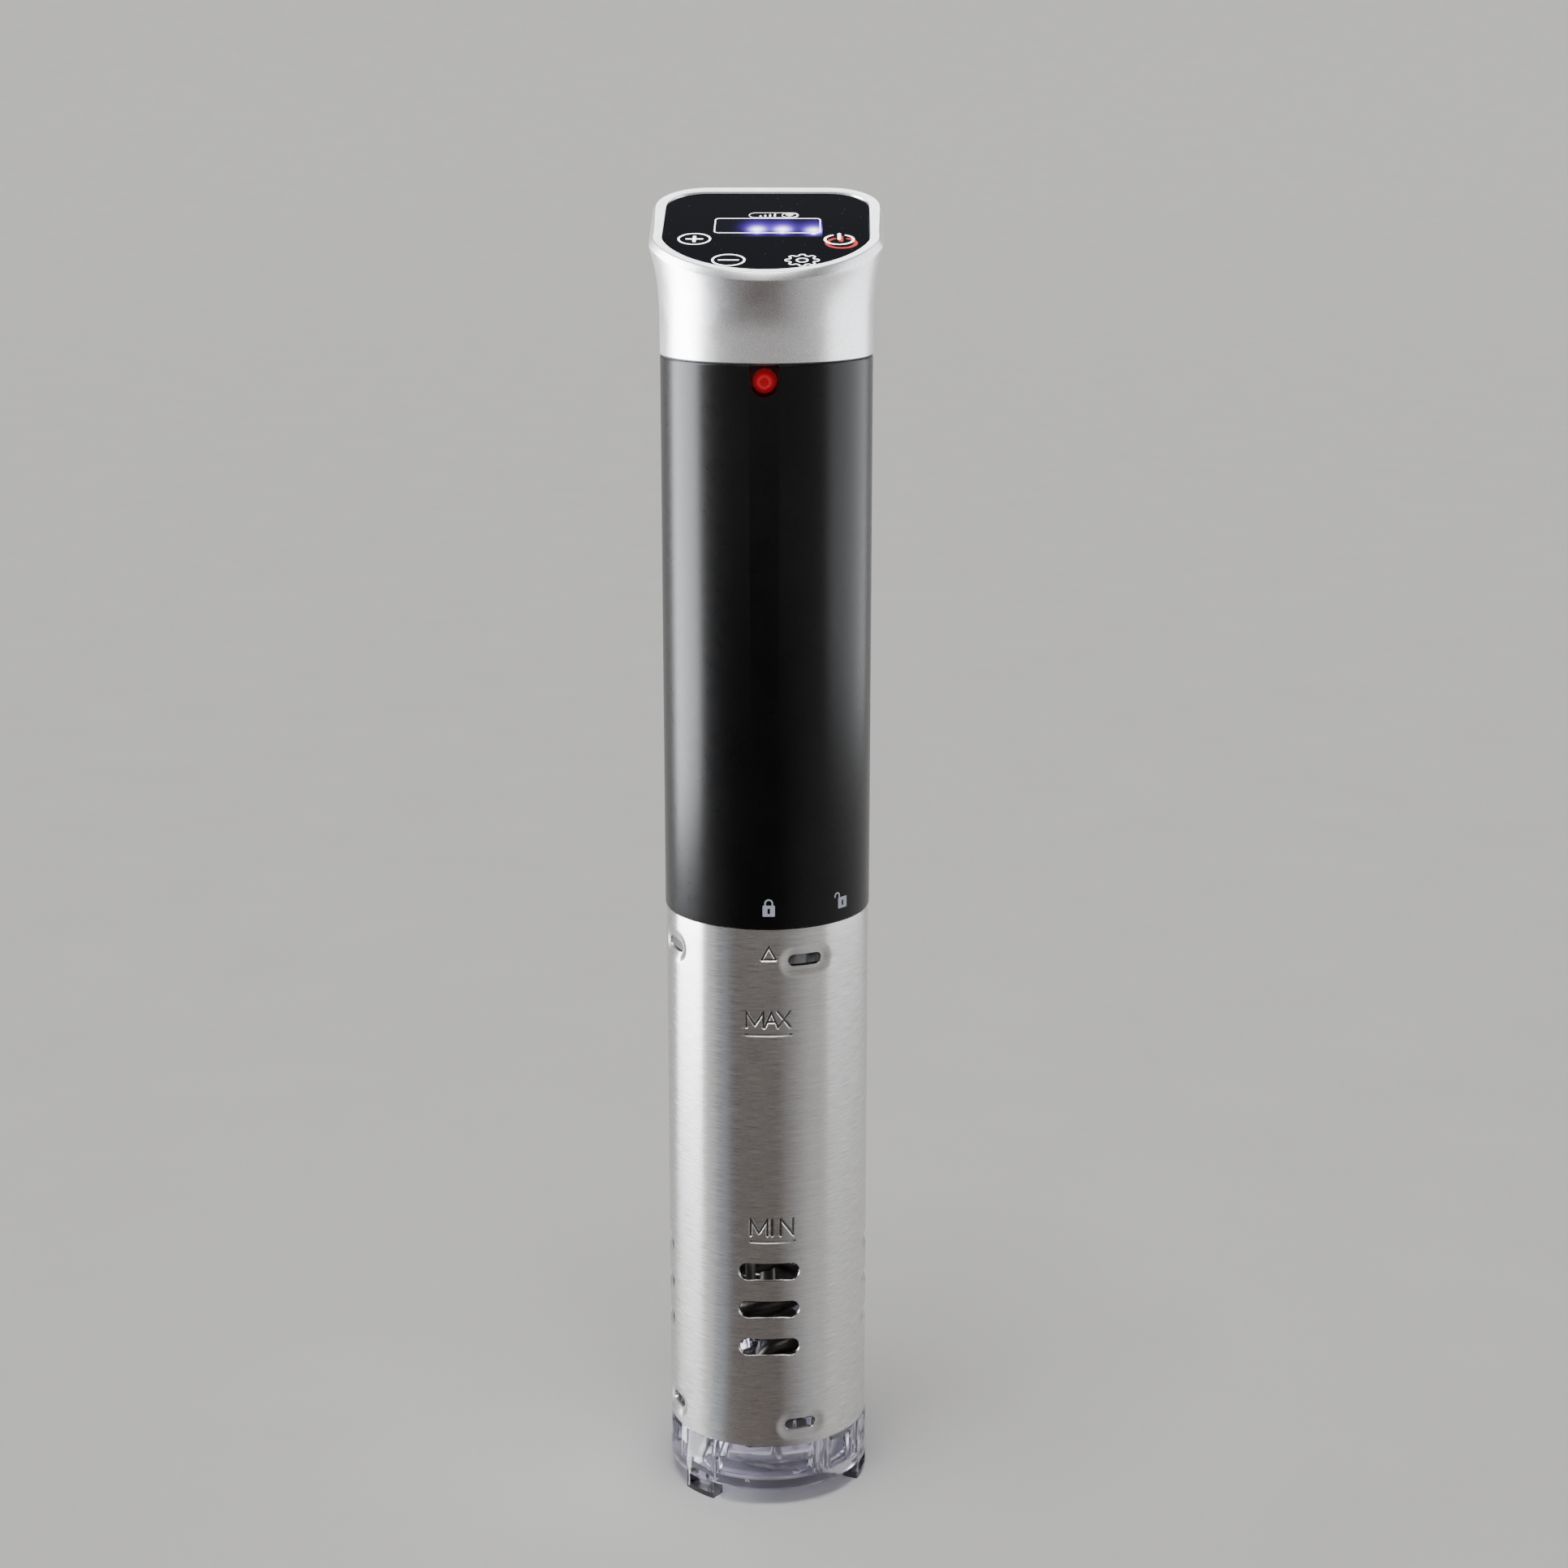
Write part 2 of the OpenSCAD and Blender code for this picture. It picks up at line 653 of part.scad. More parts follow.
// ---- Sleeve and foot ----
module water_slot() {
    flat = (slot_w - slot_h) / 2;
    rotate([90, 0, 0]) {
        for (x = [-flat, flat]) translate([x, 0, 20]) cylinder(r = slot_h / 2, h = 15);
        translate([-flat, -slot_h / 2, 20]) cube([2 * flat, slot_h, 15]);
    }
}
module steel_sleeve() {
    color("#b4b6ba")
        difference() {
            union() {
                tube(sleeve_r, sleeve_in, sleeve_z, grip_z - gap);
                for (q = quarters)
                    for (lug = [upper_lug, lower_lug])
                        sector(sleeve_in + 0.2, lug_in, lug[2], lug[3], q + lug[0], q + lug[1]);
            }
            for (q = quarters) {
                sector(sleeve_r + cut, sleeve_in - 0.2, upper_lug[3], upper_lug[3] + slit_h,
                       q + upper_lug[0], q + upper_lug[1]);
                sector(sleeve_r + cut, sleeve_in - 0.2, lower_lug[2] - slit_h, lower_lug[2],
                       q + lower_lug[0], q + lower_lug[1]);
                for (row = [0:2])
                    rotate([0, 0, q]) translate([0, 0, slot_z + row * slot_pitch]) water_slot();
            }
        }
}
// Guide vane behind the outlet window: it falls from the leg at angle a towards the next rib
module guide_vane(a) {
    intersection() {
        sector(sleeve_r - foot_wall + 0.4, 21, 7, 17.5, a + leg_half - 2, a + 74.5);
        rotate([0, 0, a + 40])
            translate([0, -25, 11.4])
                rotate([0, vane_slope, 0]) cube([60, 20, 1.2], center = true);
    }
}
module base_cap() {
    color([0.85, 0.85, 0.95, 0.5])
        difference() {
            union() {
                tube(sleeve_r, sleeve_r - foot_wall, ring_low + 0.5, wall_top);
                difference() {
                    translate([0, 0, ring_low]) cylinder(r = grip_r - 0.1, h = ring_high - ring_low);
                    translate([0, 0, ring_low + 1.5]) cylinder(r = 25, h = 5);
                }
                tube(sleeve_r - 0.5, roof_eye, roof_low, wall_top - 0.2);
                tube(collar_r, 26.2, roof_low + 0.5, foot_collar_top);
                for (a = leg_spots) {
                    sector(grip_r, 25.4, 0, wall_top - 0.4, a - leg_half, a + leg_half);
                    for (rib = [73.5, 80.5])
                        sector(sleeve_r - 0.6, 24, ring_low + 0.5, roof_low + 0.5, a + rib, a + rib + 2);
                    guide_vane(a);
                }
            }
            for (a = leg_spots) {
                sector(grip_r + cut, 25.9, ring_high + 0.3, 14, a + leg_half + 1, a + 73);
                sector(grip_r + cut, 25.9, ring_high + 0.3, roof_low - 0.3, a + 84, a + 102);
                sector(grip_r + cut, 26.9, 1.6, 4.9, a - leg_half + 2.5, a + leg_half - 2.5);
            }
            for (q = quarters) {
                sector(sleeve_r + cut, groove_in, lower_lug[2] - 0.4, lower_lug[3] + 0.4,
                       q + lower_lug[0] - foot_turn - 1.5, q + lower_lug[1] + 1.5);
                sector(sleeve_r + cut, groove_in, lower_lug[2] + 1, foot_collar_top + cut,
                       q + lower_lug[0] - foot_turn - 1, q + lower_lug[1] - foot_turn + 1.5);
            }
        }
}

// ---- Clamp ----
module clamp_bracket() {
    color("#151517")
        difference() {
            union() {
                translate([-bracket_x, 24, jaw_z - 2]) cube([2 * bracket_x, bracket_y - 24, 74]);
                translate([-bracket_x, 24, pivot_z - 10]) cube([2 * bracket_x, bracket_up - 24, 28]);
                for (x = [-bracket_x, bracket_x - ear_w]) {
                    translate([x, bracket_y - 1, pivot_z - 7]) cube([ear_w, pivot_y - bracket_y + 1, 14]);
                    translate([x, pivot_y, pivot_z]) rotate([0, 90, 0]) cylinder(r = 7, h = ear_w);
                }
            }
            translate([0, 0, jaw_z - 10]) cylinder(r = grip_r, h = 100, $fn = 128);
            translate([-20, pivot_y, pivot_z]) rotate([0, 90, 0]) cylinder(r = pin_d / 2, h = 40);
            for (z = screw_z) translate([0, 0, z]) {
                along_y(20) cylinder(r = 1.65, h = 20);
                along_y(32.4) cylinder(r = 3, h = 10);
            }
            translate([-4.8, 32.2, pivot_z]) cube([3.2, 10, 16.5]);
        }
}
module clamp_screws() {
    color("silver")
        for (i = [0, 1]) translate([0, 32.45, screw_z[i]]) rotate([90, 0, 0]) screw(2.8, 1.8, 1.5, 10 - i);
}
module clamp_nut() {
    color("silver")
        translate([0, 0, screw_z[1]])
            difference() {
                along_y(24) cylinder(r = 3.2, h = 2.4, $fn = 6);
                along_y(20) cylinder(r = 1.5, h = 20);
            }
}
// Side view of the lever from its pivot: x runs away from the grip, y runs up
lever_jaw = [[-1, -2], [arm_in - pivot_y, -12], [arm_in - pivot_y, jaw_z + jaw_h - pivot_z + 2],
             [-5.6, jaw_z + jaw_h - pivot_z], [-5.6, jaw_z - pivot_z], [3, jaw_z - pivot_z],
             [5, jaw_z - pivot_z + 4], [5, -12], [5.8, 0]];
lever_thumb = [[-5, 1], [7, 30], [7.6, 44], [11, 44], [10.6, 29], [5.9, 1]];
module clamp_lever() {
    color("#18181a")
        translate([-lever_w / 2, pivot_y, pivot_z])
            difference() {
                union() {
                    rotate([90, 0, 90]) linear_extrude(lever_w) polygon(lever_jaw);
                    rotate([90, 0, 90]) linear_extrude(lever_w) polygon(lever_thumb);
                    rotate([0, 90, 0]) cylinder(r = 6, h = lever_w);
                }
                translate([-cut, 0, 0])
                    rotate([0, 90, 0]) cylinder(r = pin_d / 2 + run, h = lever_w + 2 * cut);
                translate([lever_w / 2 - 4.2, -8, -6.5]) cube([8.4, 12.4, 14]);
            }
}
module clamp_pin() {
    color("silver")
        translate([-bracket_x, pivot_y, pivot_z])
            rotate([0, 90, 0]) cylinder(r = pin_d / 2, h = 2 * bracket_x);
}
// Torsion spring: five turns and two straight legs
module clamp_spring() {
    r = 3.7;
    wire = 0.5;
    turns = 5;
    n = 16 * turns;
    points = [for (i = [0:n]) let (a = 360 * i / 16, x = lerp(-3, 3, i / n)) for (k = [0:5])
        [x + wire * sin(60 * k), (r + wire * cos(60 * k)) * cos(a), (r + wire * cos(60 * k)) * sin(a)]];
    walls = [for (i = [0:n - 1]) for (k = [0:5]) for (half = [0, 1])
        let (k2 = (k + 1) % 6)
        half == 0 ? [i * 6 + k, (i + 1) * 6 + k2, (i + 1) * 6 + k]
        : [i * 6 + k, i * 6 + k2, (i + 1) * 6 + k2]];
    color("lightgray")
        translate([0, pivot_y, pivot_z]) {
            polyhedron(points, concat(walls, [[5, 4, 3, 2, 1, 0], [for (k = [0:5]) n * 6 + k]]));
            translate([-3, r, -0.3]) rotate([38, 0, 0]) cylinder(r = wire, h = 13);
            translate([3, r, -0.3]) rotate([-2, 0, 0]) cylinder(r = wire, h = 4.4);
        }
}
module clamp_pad() {
    color("#3c3c40")
        translate([-lever_w / 2 + 1, pivot_y - 5.6 - pad_t, jaw_z + 1])
            cube([lever_w - 2, pad_t, jaw_h - 2]);
}
module fixed_pad() {
    color("#3c3c40")
        translate([-lever_w / 2 + 1, bracket_y, jaw_z + 1]) cube([lever_w - 2, pad_t, jaw_h - 2]);
}

head_shell();
panel_glass();
panel_gasket();
head_frame();
control_board();
display_module();
touch_springs();
board_screws();
head_seal();
head_screws();
cord_gland();
gland_nut();
grip_housing();
status_window();
status_led();
led_board();
inner_frame();
power_board();
transformer();
filter_capacitor();
relay();
heat_sink();
triac();
ribbon_cable();
motor_can();
motor_end_cap();
motor_bearings();
stator();
rotor();
motor_mount();
motor_screws();
shaft_coupling();
drive_shaft();
bayonet_collar();
collar_seal();
seal_plate();
seal_screws();
shaft_seal();
shaft_tube();
guide_bush();
heater_coil();
heater_glands();
temperature_probe();
level_probes();
impeller();
impeller_nut();
steel_sleeve();
base_cap();
clamp_bracket();
clamp_screws();
clamp_nut();
clamp_lever();
clamp_pin();
clamp_spring();
clamp_pad();
fixed_pad();
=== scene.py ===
"""Looks of the stick sous vide circulator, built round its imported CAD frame.

Meshes are worked out in millimetres and written in metres. Angles round the tube are
in degrees from the front (-Y) towards +X, as in the CAD source.
"""

import json
import math

import bmesh
import bpy
import numpy as np
from mathutils import Matrix, Vector


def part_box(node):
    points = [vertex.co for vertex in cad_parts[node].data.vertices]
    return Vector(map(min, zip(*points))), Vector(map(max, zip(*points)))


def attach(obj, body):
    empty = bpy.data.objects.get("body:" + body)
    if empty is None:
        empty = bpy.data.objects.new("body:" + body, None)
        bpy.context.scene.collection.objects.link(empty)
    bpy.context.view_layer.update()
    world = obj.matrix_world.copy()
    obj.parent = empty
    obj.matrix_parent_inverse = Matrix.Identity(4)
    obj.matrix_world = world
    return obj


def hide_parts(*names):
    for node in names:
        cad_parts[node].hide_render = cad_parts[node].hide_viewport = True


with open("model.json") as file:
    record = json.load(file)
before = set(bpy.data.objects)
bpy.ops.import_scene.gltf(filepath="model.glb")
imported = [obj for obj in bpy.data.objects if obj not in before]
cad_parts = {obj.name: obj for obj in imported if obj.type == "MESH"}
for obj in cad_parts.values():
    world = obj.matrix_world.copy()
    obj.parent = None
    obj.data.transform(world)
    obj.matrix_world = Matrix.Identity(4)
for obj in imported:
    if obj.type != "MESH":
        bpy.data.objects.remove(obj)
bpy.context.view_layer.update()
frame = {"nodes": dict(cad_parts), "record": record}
MM = 0.001


# ---- Camera, at the photograph's viewing angle ----
def make_camera():
    data = bpy.data.cameras.new("camera")
    data.lens = 66.47
    data.sensor_width = 36.0
    cam = bpy.data.objects.new("camera", data)
    cam.location = (0.0178, -0.8200, 0.4233)
    cam.rotation_euler = (math.radians(75.83), 0, math.radians(0.9))
    bpy.context.scene.collection.objects.link(cam)
    bpy.context.scene.camera = cam


make_camera()


# ---- Sizes, in millimetres, from the frame ----
def size(node):
    lo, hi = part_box(node)
    return lo / MM, hi / MM


grip_lo, grip_hi = size("grip_housing")
GRIP_R, GRIP_Z, GRIP_TOP = grip_hi.x, grip_lo.z, grip_hi.z
sleeve_lo, sleeve_hi = size("steel_sleeve")
SLEEVE_R, SLEEVE_Z, SLEEVE_TOP = sleeve_hi.x, sleeve_lo.z, sleeve_hi.z
SLEEVE_WALL = 0.8
head_lo, head_hi = size("head_shell")
HEAD_HALF, HEAD_BACK, HEAD_Z = head_hi.x, head_hi.y, head_lo.z
CORNER_R = 15.0
FRONT_R = HEAD_HALF + 1
RIM_BEVEL = 1.2
RIM_DROP = 1.8
BACK_BEVEL = 0.35
RIM_W = 3.75
PANEL_TAN = math.tan(math.radians(16.8))
PANEL_Z = head_hi.z - PANEL_TAN * (HEAD_BACK - RIM_BEVEL * BACK_BEVEL)
GLASS_RECESS = 0.5
GLASS_T = 2.0
SEAT = 3.3
LIGHT_Z = GRIP_TOP - 4.7
LIGHT_W = 8.0
LOCK_ANGLE = 2.0
gland_lo, gland_hi = size("cord_gland")
GLAND_Z = (gland_lo.z + gland_hi.z) / 2
GLAND_HOLE_R = 6.05
CLAMP_SCREW_R = 1.65
CLAMP_SCREW_HEIGHTS = (244.5, 279.0)
FLOOR_FLAT_R, FLOOR_BEND_R = 5000, 8000


# ---- Mesh helpers ----
def around(r, angle, z):
    """Point at radius r and an angle in degrees from the front."""
    a = math.radians(angle)
    return (r * math.sin(a), -r * math.cos(a), z)


def skin(rings, loop=True, along=False, caps=False):
    """Vertices and faces of a surface through rings of points with equal counts."""
    n, m = len(rings), len(rings[0])
    verts = [tuple(p) for ring in rings for p in ring]
    faces = []
    for i in range(n if along else n - 1):
        a, b = i * m, (i + 1) % n * m
        for j in range(m if loop else m - 1):
            k = (j + 1) % m
            faces.append((a + j, a + k, b + k, b + j))
    if caps:
        faces.append(tuple(range(m - 1, -1, -1)))
        faces.append(tuple((n - 1) * m + j for j in range(m)))
    return verts, faces


def piece(name, shape, material, body, replaces=(), sharp=35):
    """A mesh object from (vertices in mm, faces), smooth but for edges over sharp degrees."""
    verts, faces = shape
    mesh = bpy.data.meshes.new(name)
    mesh.from_pydata([(x * MM, y * MM, z * MM) for x, y, z in verts], [], faces)
    bm = bmesh.new()
    bm.from_mesh(mesh)
    bmesh.ops.recalc_face_normals(bm, faces=bm.faces)
    bm.to_mesh(mesh)
    bm.free()
    obj = bpy.data.objects.new(name, mesh)
    bpy.context.scene.collection.objects.link(obj)
    mesh.materials.append(material)
    smooth(obj, sharp)
    if body:
        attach(obj, body)
    if replaces:
        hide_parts(*replaces)
    return obj


def smooth(obj, sharp):
    mesh = obj.data
    mesh.polygons.foreach_set("use_smooth", [True] * len(mesh.polygons))
    mesh.set_sharp_from_angle(angle=math.radians(sharp))


def joined(*shapes):
    """Several shapes as one."""
    verts, faces = [], []
    for v, f in shapes:
        base = len(verts)
        verts += v
        faces += [tuple(i + base for i in face) for face in f]
    return verts, faces


def bake_modifiers(obj):
    """Replaces the object's mesh by what its modifiers make of it."""
    bpy.context.view_layer.update()
    depsgraph = bpy.context.evaluated_depsgraph_get()
    mesh = bpy.data.meshes.new_from_object(obj.evaluated_get(depsgraph))
    obj.modifiers.clear()
    obj.data = mesh


def carve(obj, shape, material=None, sharp=35):
    """Cuts a closed shape out of obj; cut faces take the material, if one is given."""
    tool = piece("cutter", shape, material or obj.data.materials[0], None)
    cut = obj.modifiers.new("cut", "BOOLEAN")
    cut.operation = "DIFFERENCE"
    cut.solver = "EXACT"
    cut.object = tool
    if material:
        cut.material_mode = "TRANSFER"
    bake_modifiers(obj)
    bpy.data.objects.remove(tool)
    smooth(obj, sharp)


def revolve(profile, steps=192, a0=0.0, a1=360.0):
    """Closed profile of (radius, height) turned round the axis."""
    whole = a1 - a0 >= 360
    n = steps if whole else steps + 1
    rings = [[around(r, a0 + (a1 - a0) * i / steps, z) for r, z in profile] for i in range(n)]
    return skin(rings, loop=True, along=whole, caps=not whole)


def rounded(points, steps=4):
    """Corners (x, y, radius) of a closed outline as points, with true arcs."""
    out = []
    n = len(points)
    for i in range(n):
        p = Vector(points[i][:2])
        r = points[i][2]
        u = (Vector(points[i - 1][:2]) - p).normalized()
        w = (Vector(points[(i + 1) % n][:2]) - p).normalized()
        if r <= 0:
            out.append(tuple(p))
            continue
        half = math.acos(max(-1, min(1, u.dot(w)))) / 2
        reach = r / math.tan(half)
        centre = p + (u + w).normalized() * (r / math.sin(half))
        start, end = p + u * reach - centre, p + w * reach - centre
        turn = math.atan2(start.x * end.y - start.y * end.x, start.dot(end))
        for k in range(steps + 1):
            q = Matrix.Rotation(turn * k / steps, 2) @ start
            out.append(tuple(centre + q))
    return out


def refined(name, node, material, body, width, segments=2, angle=30):
    """A CAD node's own mesh with flat faces merged and every hard edge rounded."""
    source = frame["nodes"][node]
    mesh = source.data.copy()
    obj = bpy.data.objects.new(name, mesh)
    bpy.context.scene.collection.objects.link(obj)
    bm = bmesh.new()
    bm.from_mesh(mesh)
    bmesh.ops.remove_doubles(bm, verts=bm.verts, dist=2e-6)
    bmesh.ops.dissolve_limit(bm, angle_limit=math.radians(0.5), verts=bm.verts, edges=bm.edges)
    bmesh.ops.recalc_face_normals(bm, faces=bm.faces)
    bm.to_mesh(mesh)
    bm.free()
    mesh.materials.clear()
    mesh.materials.append(material)
    bevel = obj.modifiers.new("bevel", "BEVEL")
    bevel.width = width * MM
    bevel.segments = segments
    bevel.limit_method = "ANGLE"
    bevel.angle_limit = math.radians(angle)
    bake_modifiers(obj)
    smooth(obj, 40)
    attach(obj, body)
    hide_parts(node)
    return obj


# ---- Material helpers ----
class Shader:
    """A Principled material and short ways to add procedural detail to it."""

    def __init__(self, name, colour, roughness, metallic=0.0, **sockets):
        self.material = bpy.data.materials.new(name)
        self.material.use_nodes = True
        self.tree = self.material.node_tree
        self.bsdf = self.tree.nodes["Principled BSDF"]
        self.set("Base Color", (*colour, 1))
        self.set("Roughness", roughness)
        self.set("Metallic", metallic)
        for key, value in sockets.items():
            self.set(key.replace("_", " "), value)
        self.place = self.node("ShaderNodeTexCoord").outputs["Object"]

    def set(self, socket, value):
        self.bsdf.inputs[socket].default_value = value

    def node(self, kind, **inputs):
        node = self.tree.nodes.new(kind)
        for key, value in inputs.items():
            self.feed(node.inputs[key.replace("_", " ")], value)
        return node

    def feed(self, socket, value):
        if isinstance(value, bpy.types.NodeSocket):
            self.tree.links.new(value, socket)
        else:
            socket.default_value = value

    def math(self, operation, a, b=0.0):
        node = self.node("ShaderNodeMath")
        node.operation = operation
        self.feed(node.inputs[0], a)
        self.feed(node.inputs[1], b)
        return node.outputs[0]

    def noise(self, feature_mm, detail=3.0, vector=None, rough=0.5):
        """Noise with features of about that size; a given vector is already scaled."""
        scale = 1.0 if vector else 1 / (feature_mm * MM)
        node = self.node("ShaderNodeTexNoise", Vector=vector or self.place, Scale=scale, Detail=detail,
                         Roughness=rough)
        return node.outputs["Fac"]

    def ramp(self, value, low, high, out_low=0.0, out_high=1.0):
        node = self.node("ShaderNodeMapRange", Value=value)
        for index, number in zip((1, 2, 3, 4), (low, high, out_low, out_high)):
            node.inputs[index].default_value = number
        return node.outputs[0]

    def mix(self, factor, a, b):
        node = self.node("ShaderNodeMix")
        node.data_type = "RGBA"
        self.feed(node.inputs["Factor"], factor)
        for key, value in (("A", a), ("B", b)):
            socket = [s for s in node.inputs if s.name == key and s.type == "RGBA"][0]
            self.feed(socket, (*value, 1) if isinstance(value, tuple) and len(value) == 3 else value)
        return [s for s in node.outputs if s.type == "RGBA"][0]

    def colour(self, factor, a, b):
        self.feed(self.bsdf.inputs["Base Color"], self.mix(factor, a, b))
        return self

    def rough(self, value):
        self.feed(self.bsdf.inputs["Roughness"], value)
        return self

    def bump(self, height, depth_mm, strength=1.0):
        node = self.node("ShaderNodeBump", Height=height, Strength=strength, Distance=depth_mm * MM)
        if self.bsdf.inputs["Normal"].is_linked:
            self.feed(node.inputs["Normal"], self.bsdf.inputs["Normal"].links[0].from_socket)
        self.feed(self.bsdf.inputs["Normal"], node.outputs[0])
        return self

    def unrolled(self, along_mm, across_mm):
        """Coordinates on the unrolled tube, for marks that long round it and that high."""
        split = self.node("ShaderNodeSeparateXYZ", Vector=self.place)
        x, y, z = split.outputs
        turn = self.math("ARCTAN2", x, self.math("MULTIPLY", y, -1.0))
        arc = self.math("MULTIPLY", turn, GRIP_R / along_mm)
        height = self.math("MULTIPLY", z, 1 / (across_mm * MM))
        return self.node("ShaderNodeCombineXYZ", X=arc, Y=height, Z=0.0).outputs[0]


def moulded(name, light, dark, rough, feature_mm, depth_mm, **sockets):
    """Moulded plastic, rubber or paint: mottled a little, with fine surface grain."""
    s = Shader(name, light, rough, **sockets)
    s.colour(s.ramp(s.noise(9.0, 4.0), 0.35, 0.65), light, dark)
    s.rough(s.ramp(s.noise(feature_mm * 6, 3.0), 0.3, 0.7, rough - 0.05, rough + 0.06))
    s.bump(s.noise(feature_mm, 2.0), depth_mm)
    return s.material


def turned(name, light, dark, rough, feature_mm=0.25, **sockets):
    """Machined or drawn metal: fine marks round the axis and light staining."""
    s = Shader(name, light, rough, 1.0, **sockets)
    marks = s.noise(0, 3.0, s.unrolled(14.0, feature_mm))
    s.colour(s.ramp(s.noise(6.0, 4.0), 0.3, 0.7), light, dark)
    s.rough(s.ramp(marks, 0.25, 0.75, rough - 0.06, rough + 0.08))
    s.bump(marks, 0.008)
    return s.material


def silver_paint():
    s = Shader("silver_paint", (0.62, 0.62, 0.63), 0.30, 0.92, Coat_Weight=0.1, Coat_Roughness=0.2)
    flakes = s.node("ShaderNodeTexVoronoi", Vector=s.place, Scale=1 / (0.2 * MM))
    sparkle = s.ramp(flakes.outputs["Color"], 0.3, 1.0)
    s.colour(sparkle, (0.66, 0.655, 0.66), (0.96, 0.96, 0.98))
    s.rough(s.ramp(s.noise(5.0, 3.0), 0.3, 0.7, 0.29, 0.34))
    s.bump(flakes.outputs["Distance"], 0.003, 0.6).bump(s.noise(0.5, 3.0), 0.003)
    return s.material


def black_glass():
    s = Shader("black_glass", (0.004, 0.006, 0.010), 0.05, IOR=1.016)
    dust = s.node("ShaderNodeTexVoronoi", Vector=s.place, Scale=1 / (2.6 * MM))
    speck = s.ramp(dust.outputs["Distance"], 0.035, 0.075, 1.0, 0.0)
    s.colour(speck, (0.003, 0.004, 0.008), (0.14, 0.15, 0.18))
    smear = s.ramp(s.noise(12.0, 4.0), 0.45, 0.75, 0.05, 0.16)
    s.rough(smear)
    return s.material


def grip_plastic():
    s = Shader("black_plastic", (0.004, 0.004, 0.005), 0.3, IOR=1.3)
    s.colour(s.ramp(s.noise(14.0, 4.0), 0.35, 0.7), (0.002, 0.002, 0.0024), (0.004, 0.004, 0.0047))
    s.rough(s.ramp(s.noise(3.0, 3.0), 0.3, 0.7, 0.27, 0.30))
    s.bump(s.noise(0.28, 2.0), 0.005).bump(s.noise(0.9, 2.0), 0.0015)
    return s.material


def brushed_steel():
    s = Shader("brushed_steel", (0.55, 0.54, 0.53), 0.3, 1.0, Anisotropic=0.85, Anisotropic_Rotation=0.25)
    tangent = s.node("ShaderNodeTangent")
    tangent.direction_type = "RADIAL"
    tangent.axis = "Z"
    s.feed(s.bsdf.inputs["Tangent"], tangent.outputs[0])
    fine = s.noise(0, 2.0, s.unrolled(6.0, 0.09))
    broad = s.noise(0, 3.0, s.unrolled(22.0, 0.5))
    marks = s.math("ADD", s.math("MULTIPLY", fine, 0.65), s.math("MULTIPLY", broad, 0.35))
    s.colour(s.ramp(marks, 0.3, 0.7), (0.45, 0.443, 0.435), (0.72, 0.71, 0.70))
    s.rough(s.ramp(fine, 0.25, 0.75, 0.20, 0.34))
    s.bump(fine, 0.007).bump(broad, 0.003)
    return s.material


def clear_plastic(name, tint, rough, ior=1.53, share=1.0):
    s = Shader(name, tint, rough, IOR=ior, Transmission_Weight=share)
    s.colour(s.ramp(s.noise(8.0, 3.0), 0.3, 0.75), tint, tuple(0.93 * c for c in tint))
    s.rough(s.ramp(s.noise(2.5, 4.0), 0.4, 0.7, rough, rough + 0.08))
    s.bump(s.noise(1.8, 2.0), 0.012)
    return s.material


def led_red():
    s = Shader("led_red", (0.65, 0.01, 0.02), 0.25, Transmission_Weight=0.0)
    x, _, z = s.node("ShaderNodeSeparateXYZ", Vector=s.place).outputs
    off = s.math("SUBTRACT", z, LIGHT_Z * MM)
    reach = s.math("SQRT", s.math("ADD", s.math("MULTIPLY", x, x), s.math("MULTIPLY", off, off)))
    off_ring = s.math("ABSOLUTE", s.math("SUBTRACT", reach, 1.55 * MM))
    ring_light = s.ramp(off_ring, 0.1 * MM, 0.5 * MM, 1.0, 0.0)
    s.feed(s.bsdf.inputs["Emission Color"], s.mix(ring_light, (0.80, 0.004, 0.012), (0.95, 0.10, 0.12)))
    edge = s.ramp(reach, 2.2 * MM, 3.1 * MM, 0.62, 0.28)
    s.feed(s.bsdf.inputs["Emission Strength"], edge)
    s.bump(s.noise(0.4, 2.0), 0.01)
    return s.material


# Print that glows: its emission is painted light, which makes the marks brighter than the lamps alone make
# them.
def glowing_print(name, colour, glow):
    s = Shader(name, colour, 0.45, IOR=1.1, Emission_Color=(*colour, 1), Emission_Strength=glow)
    s.colour(s.ramp(s.noise(0.35, 3.0), 0.3, 0.7), colour, tuple(0.86 * c for c in colour))
    s.bump(s.noise(0.12, 2.0), 0.004)
    return s.material


# Places of the lit digits on the panel, as seen from above
GLOWS = ((-2.6, 2.9), (4.5, 2.9), (13.2, 2.2))
# Clouds of each digit: offset up the panel, half width, half height, and whether it is a white core
CLOUDS = ((0.0, 3.4, 4.2, False), (-1.6, 2.0, 2.3, True), (-3.9, 0.6, 0.6, True))


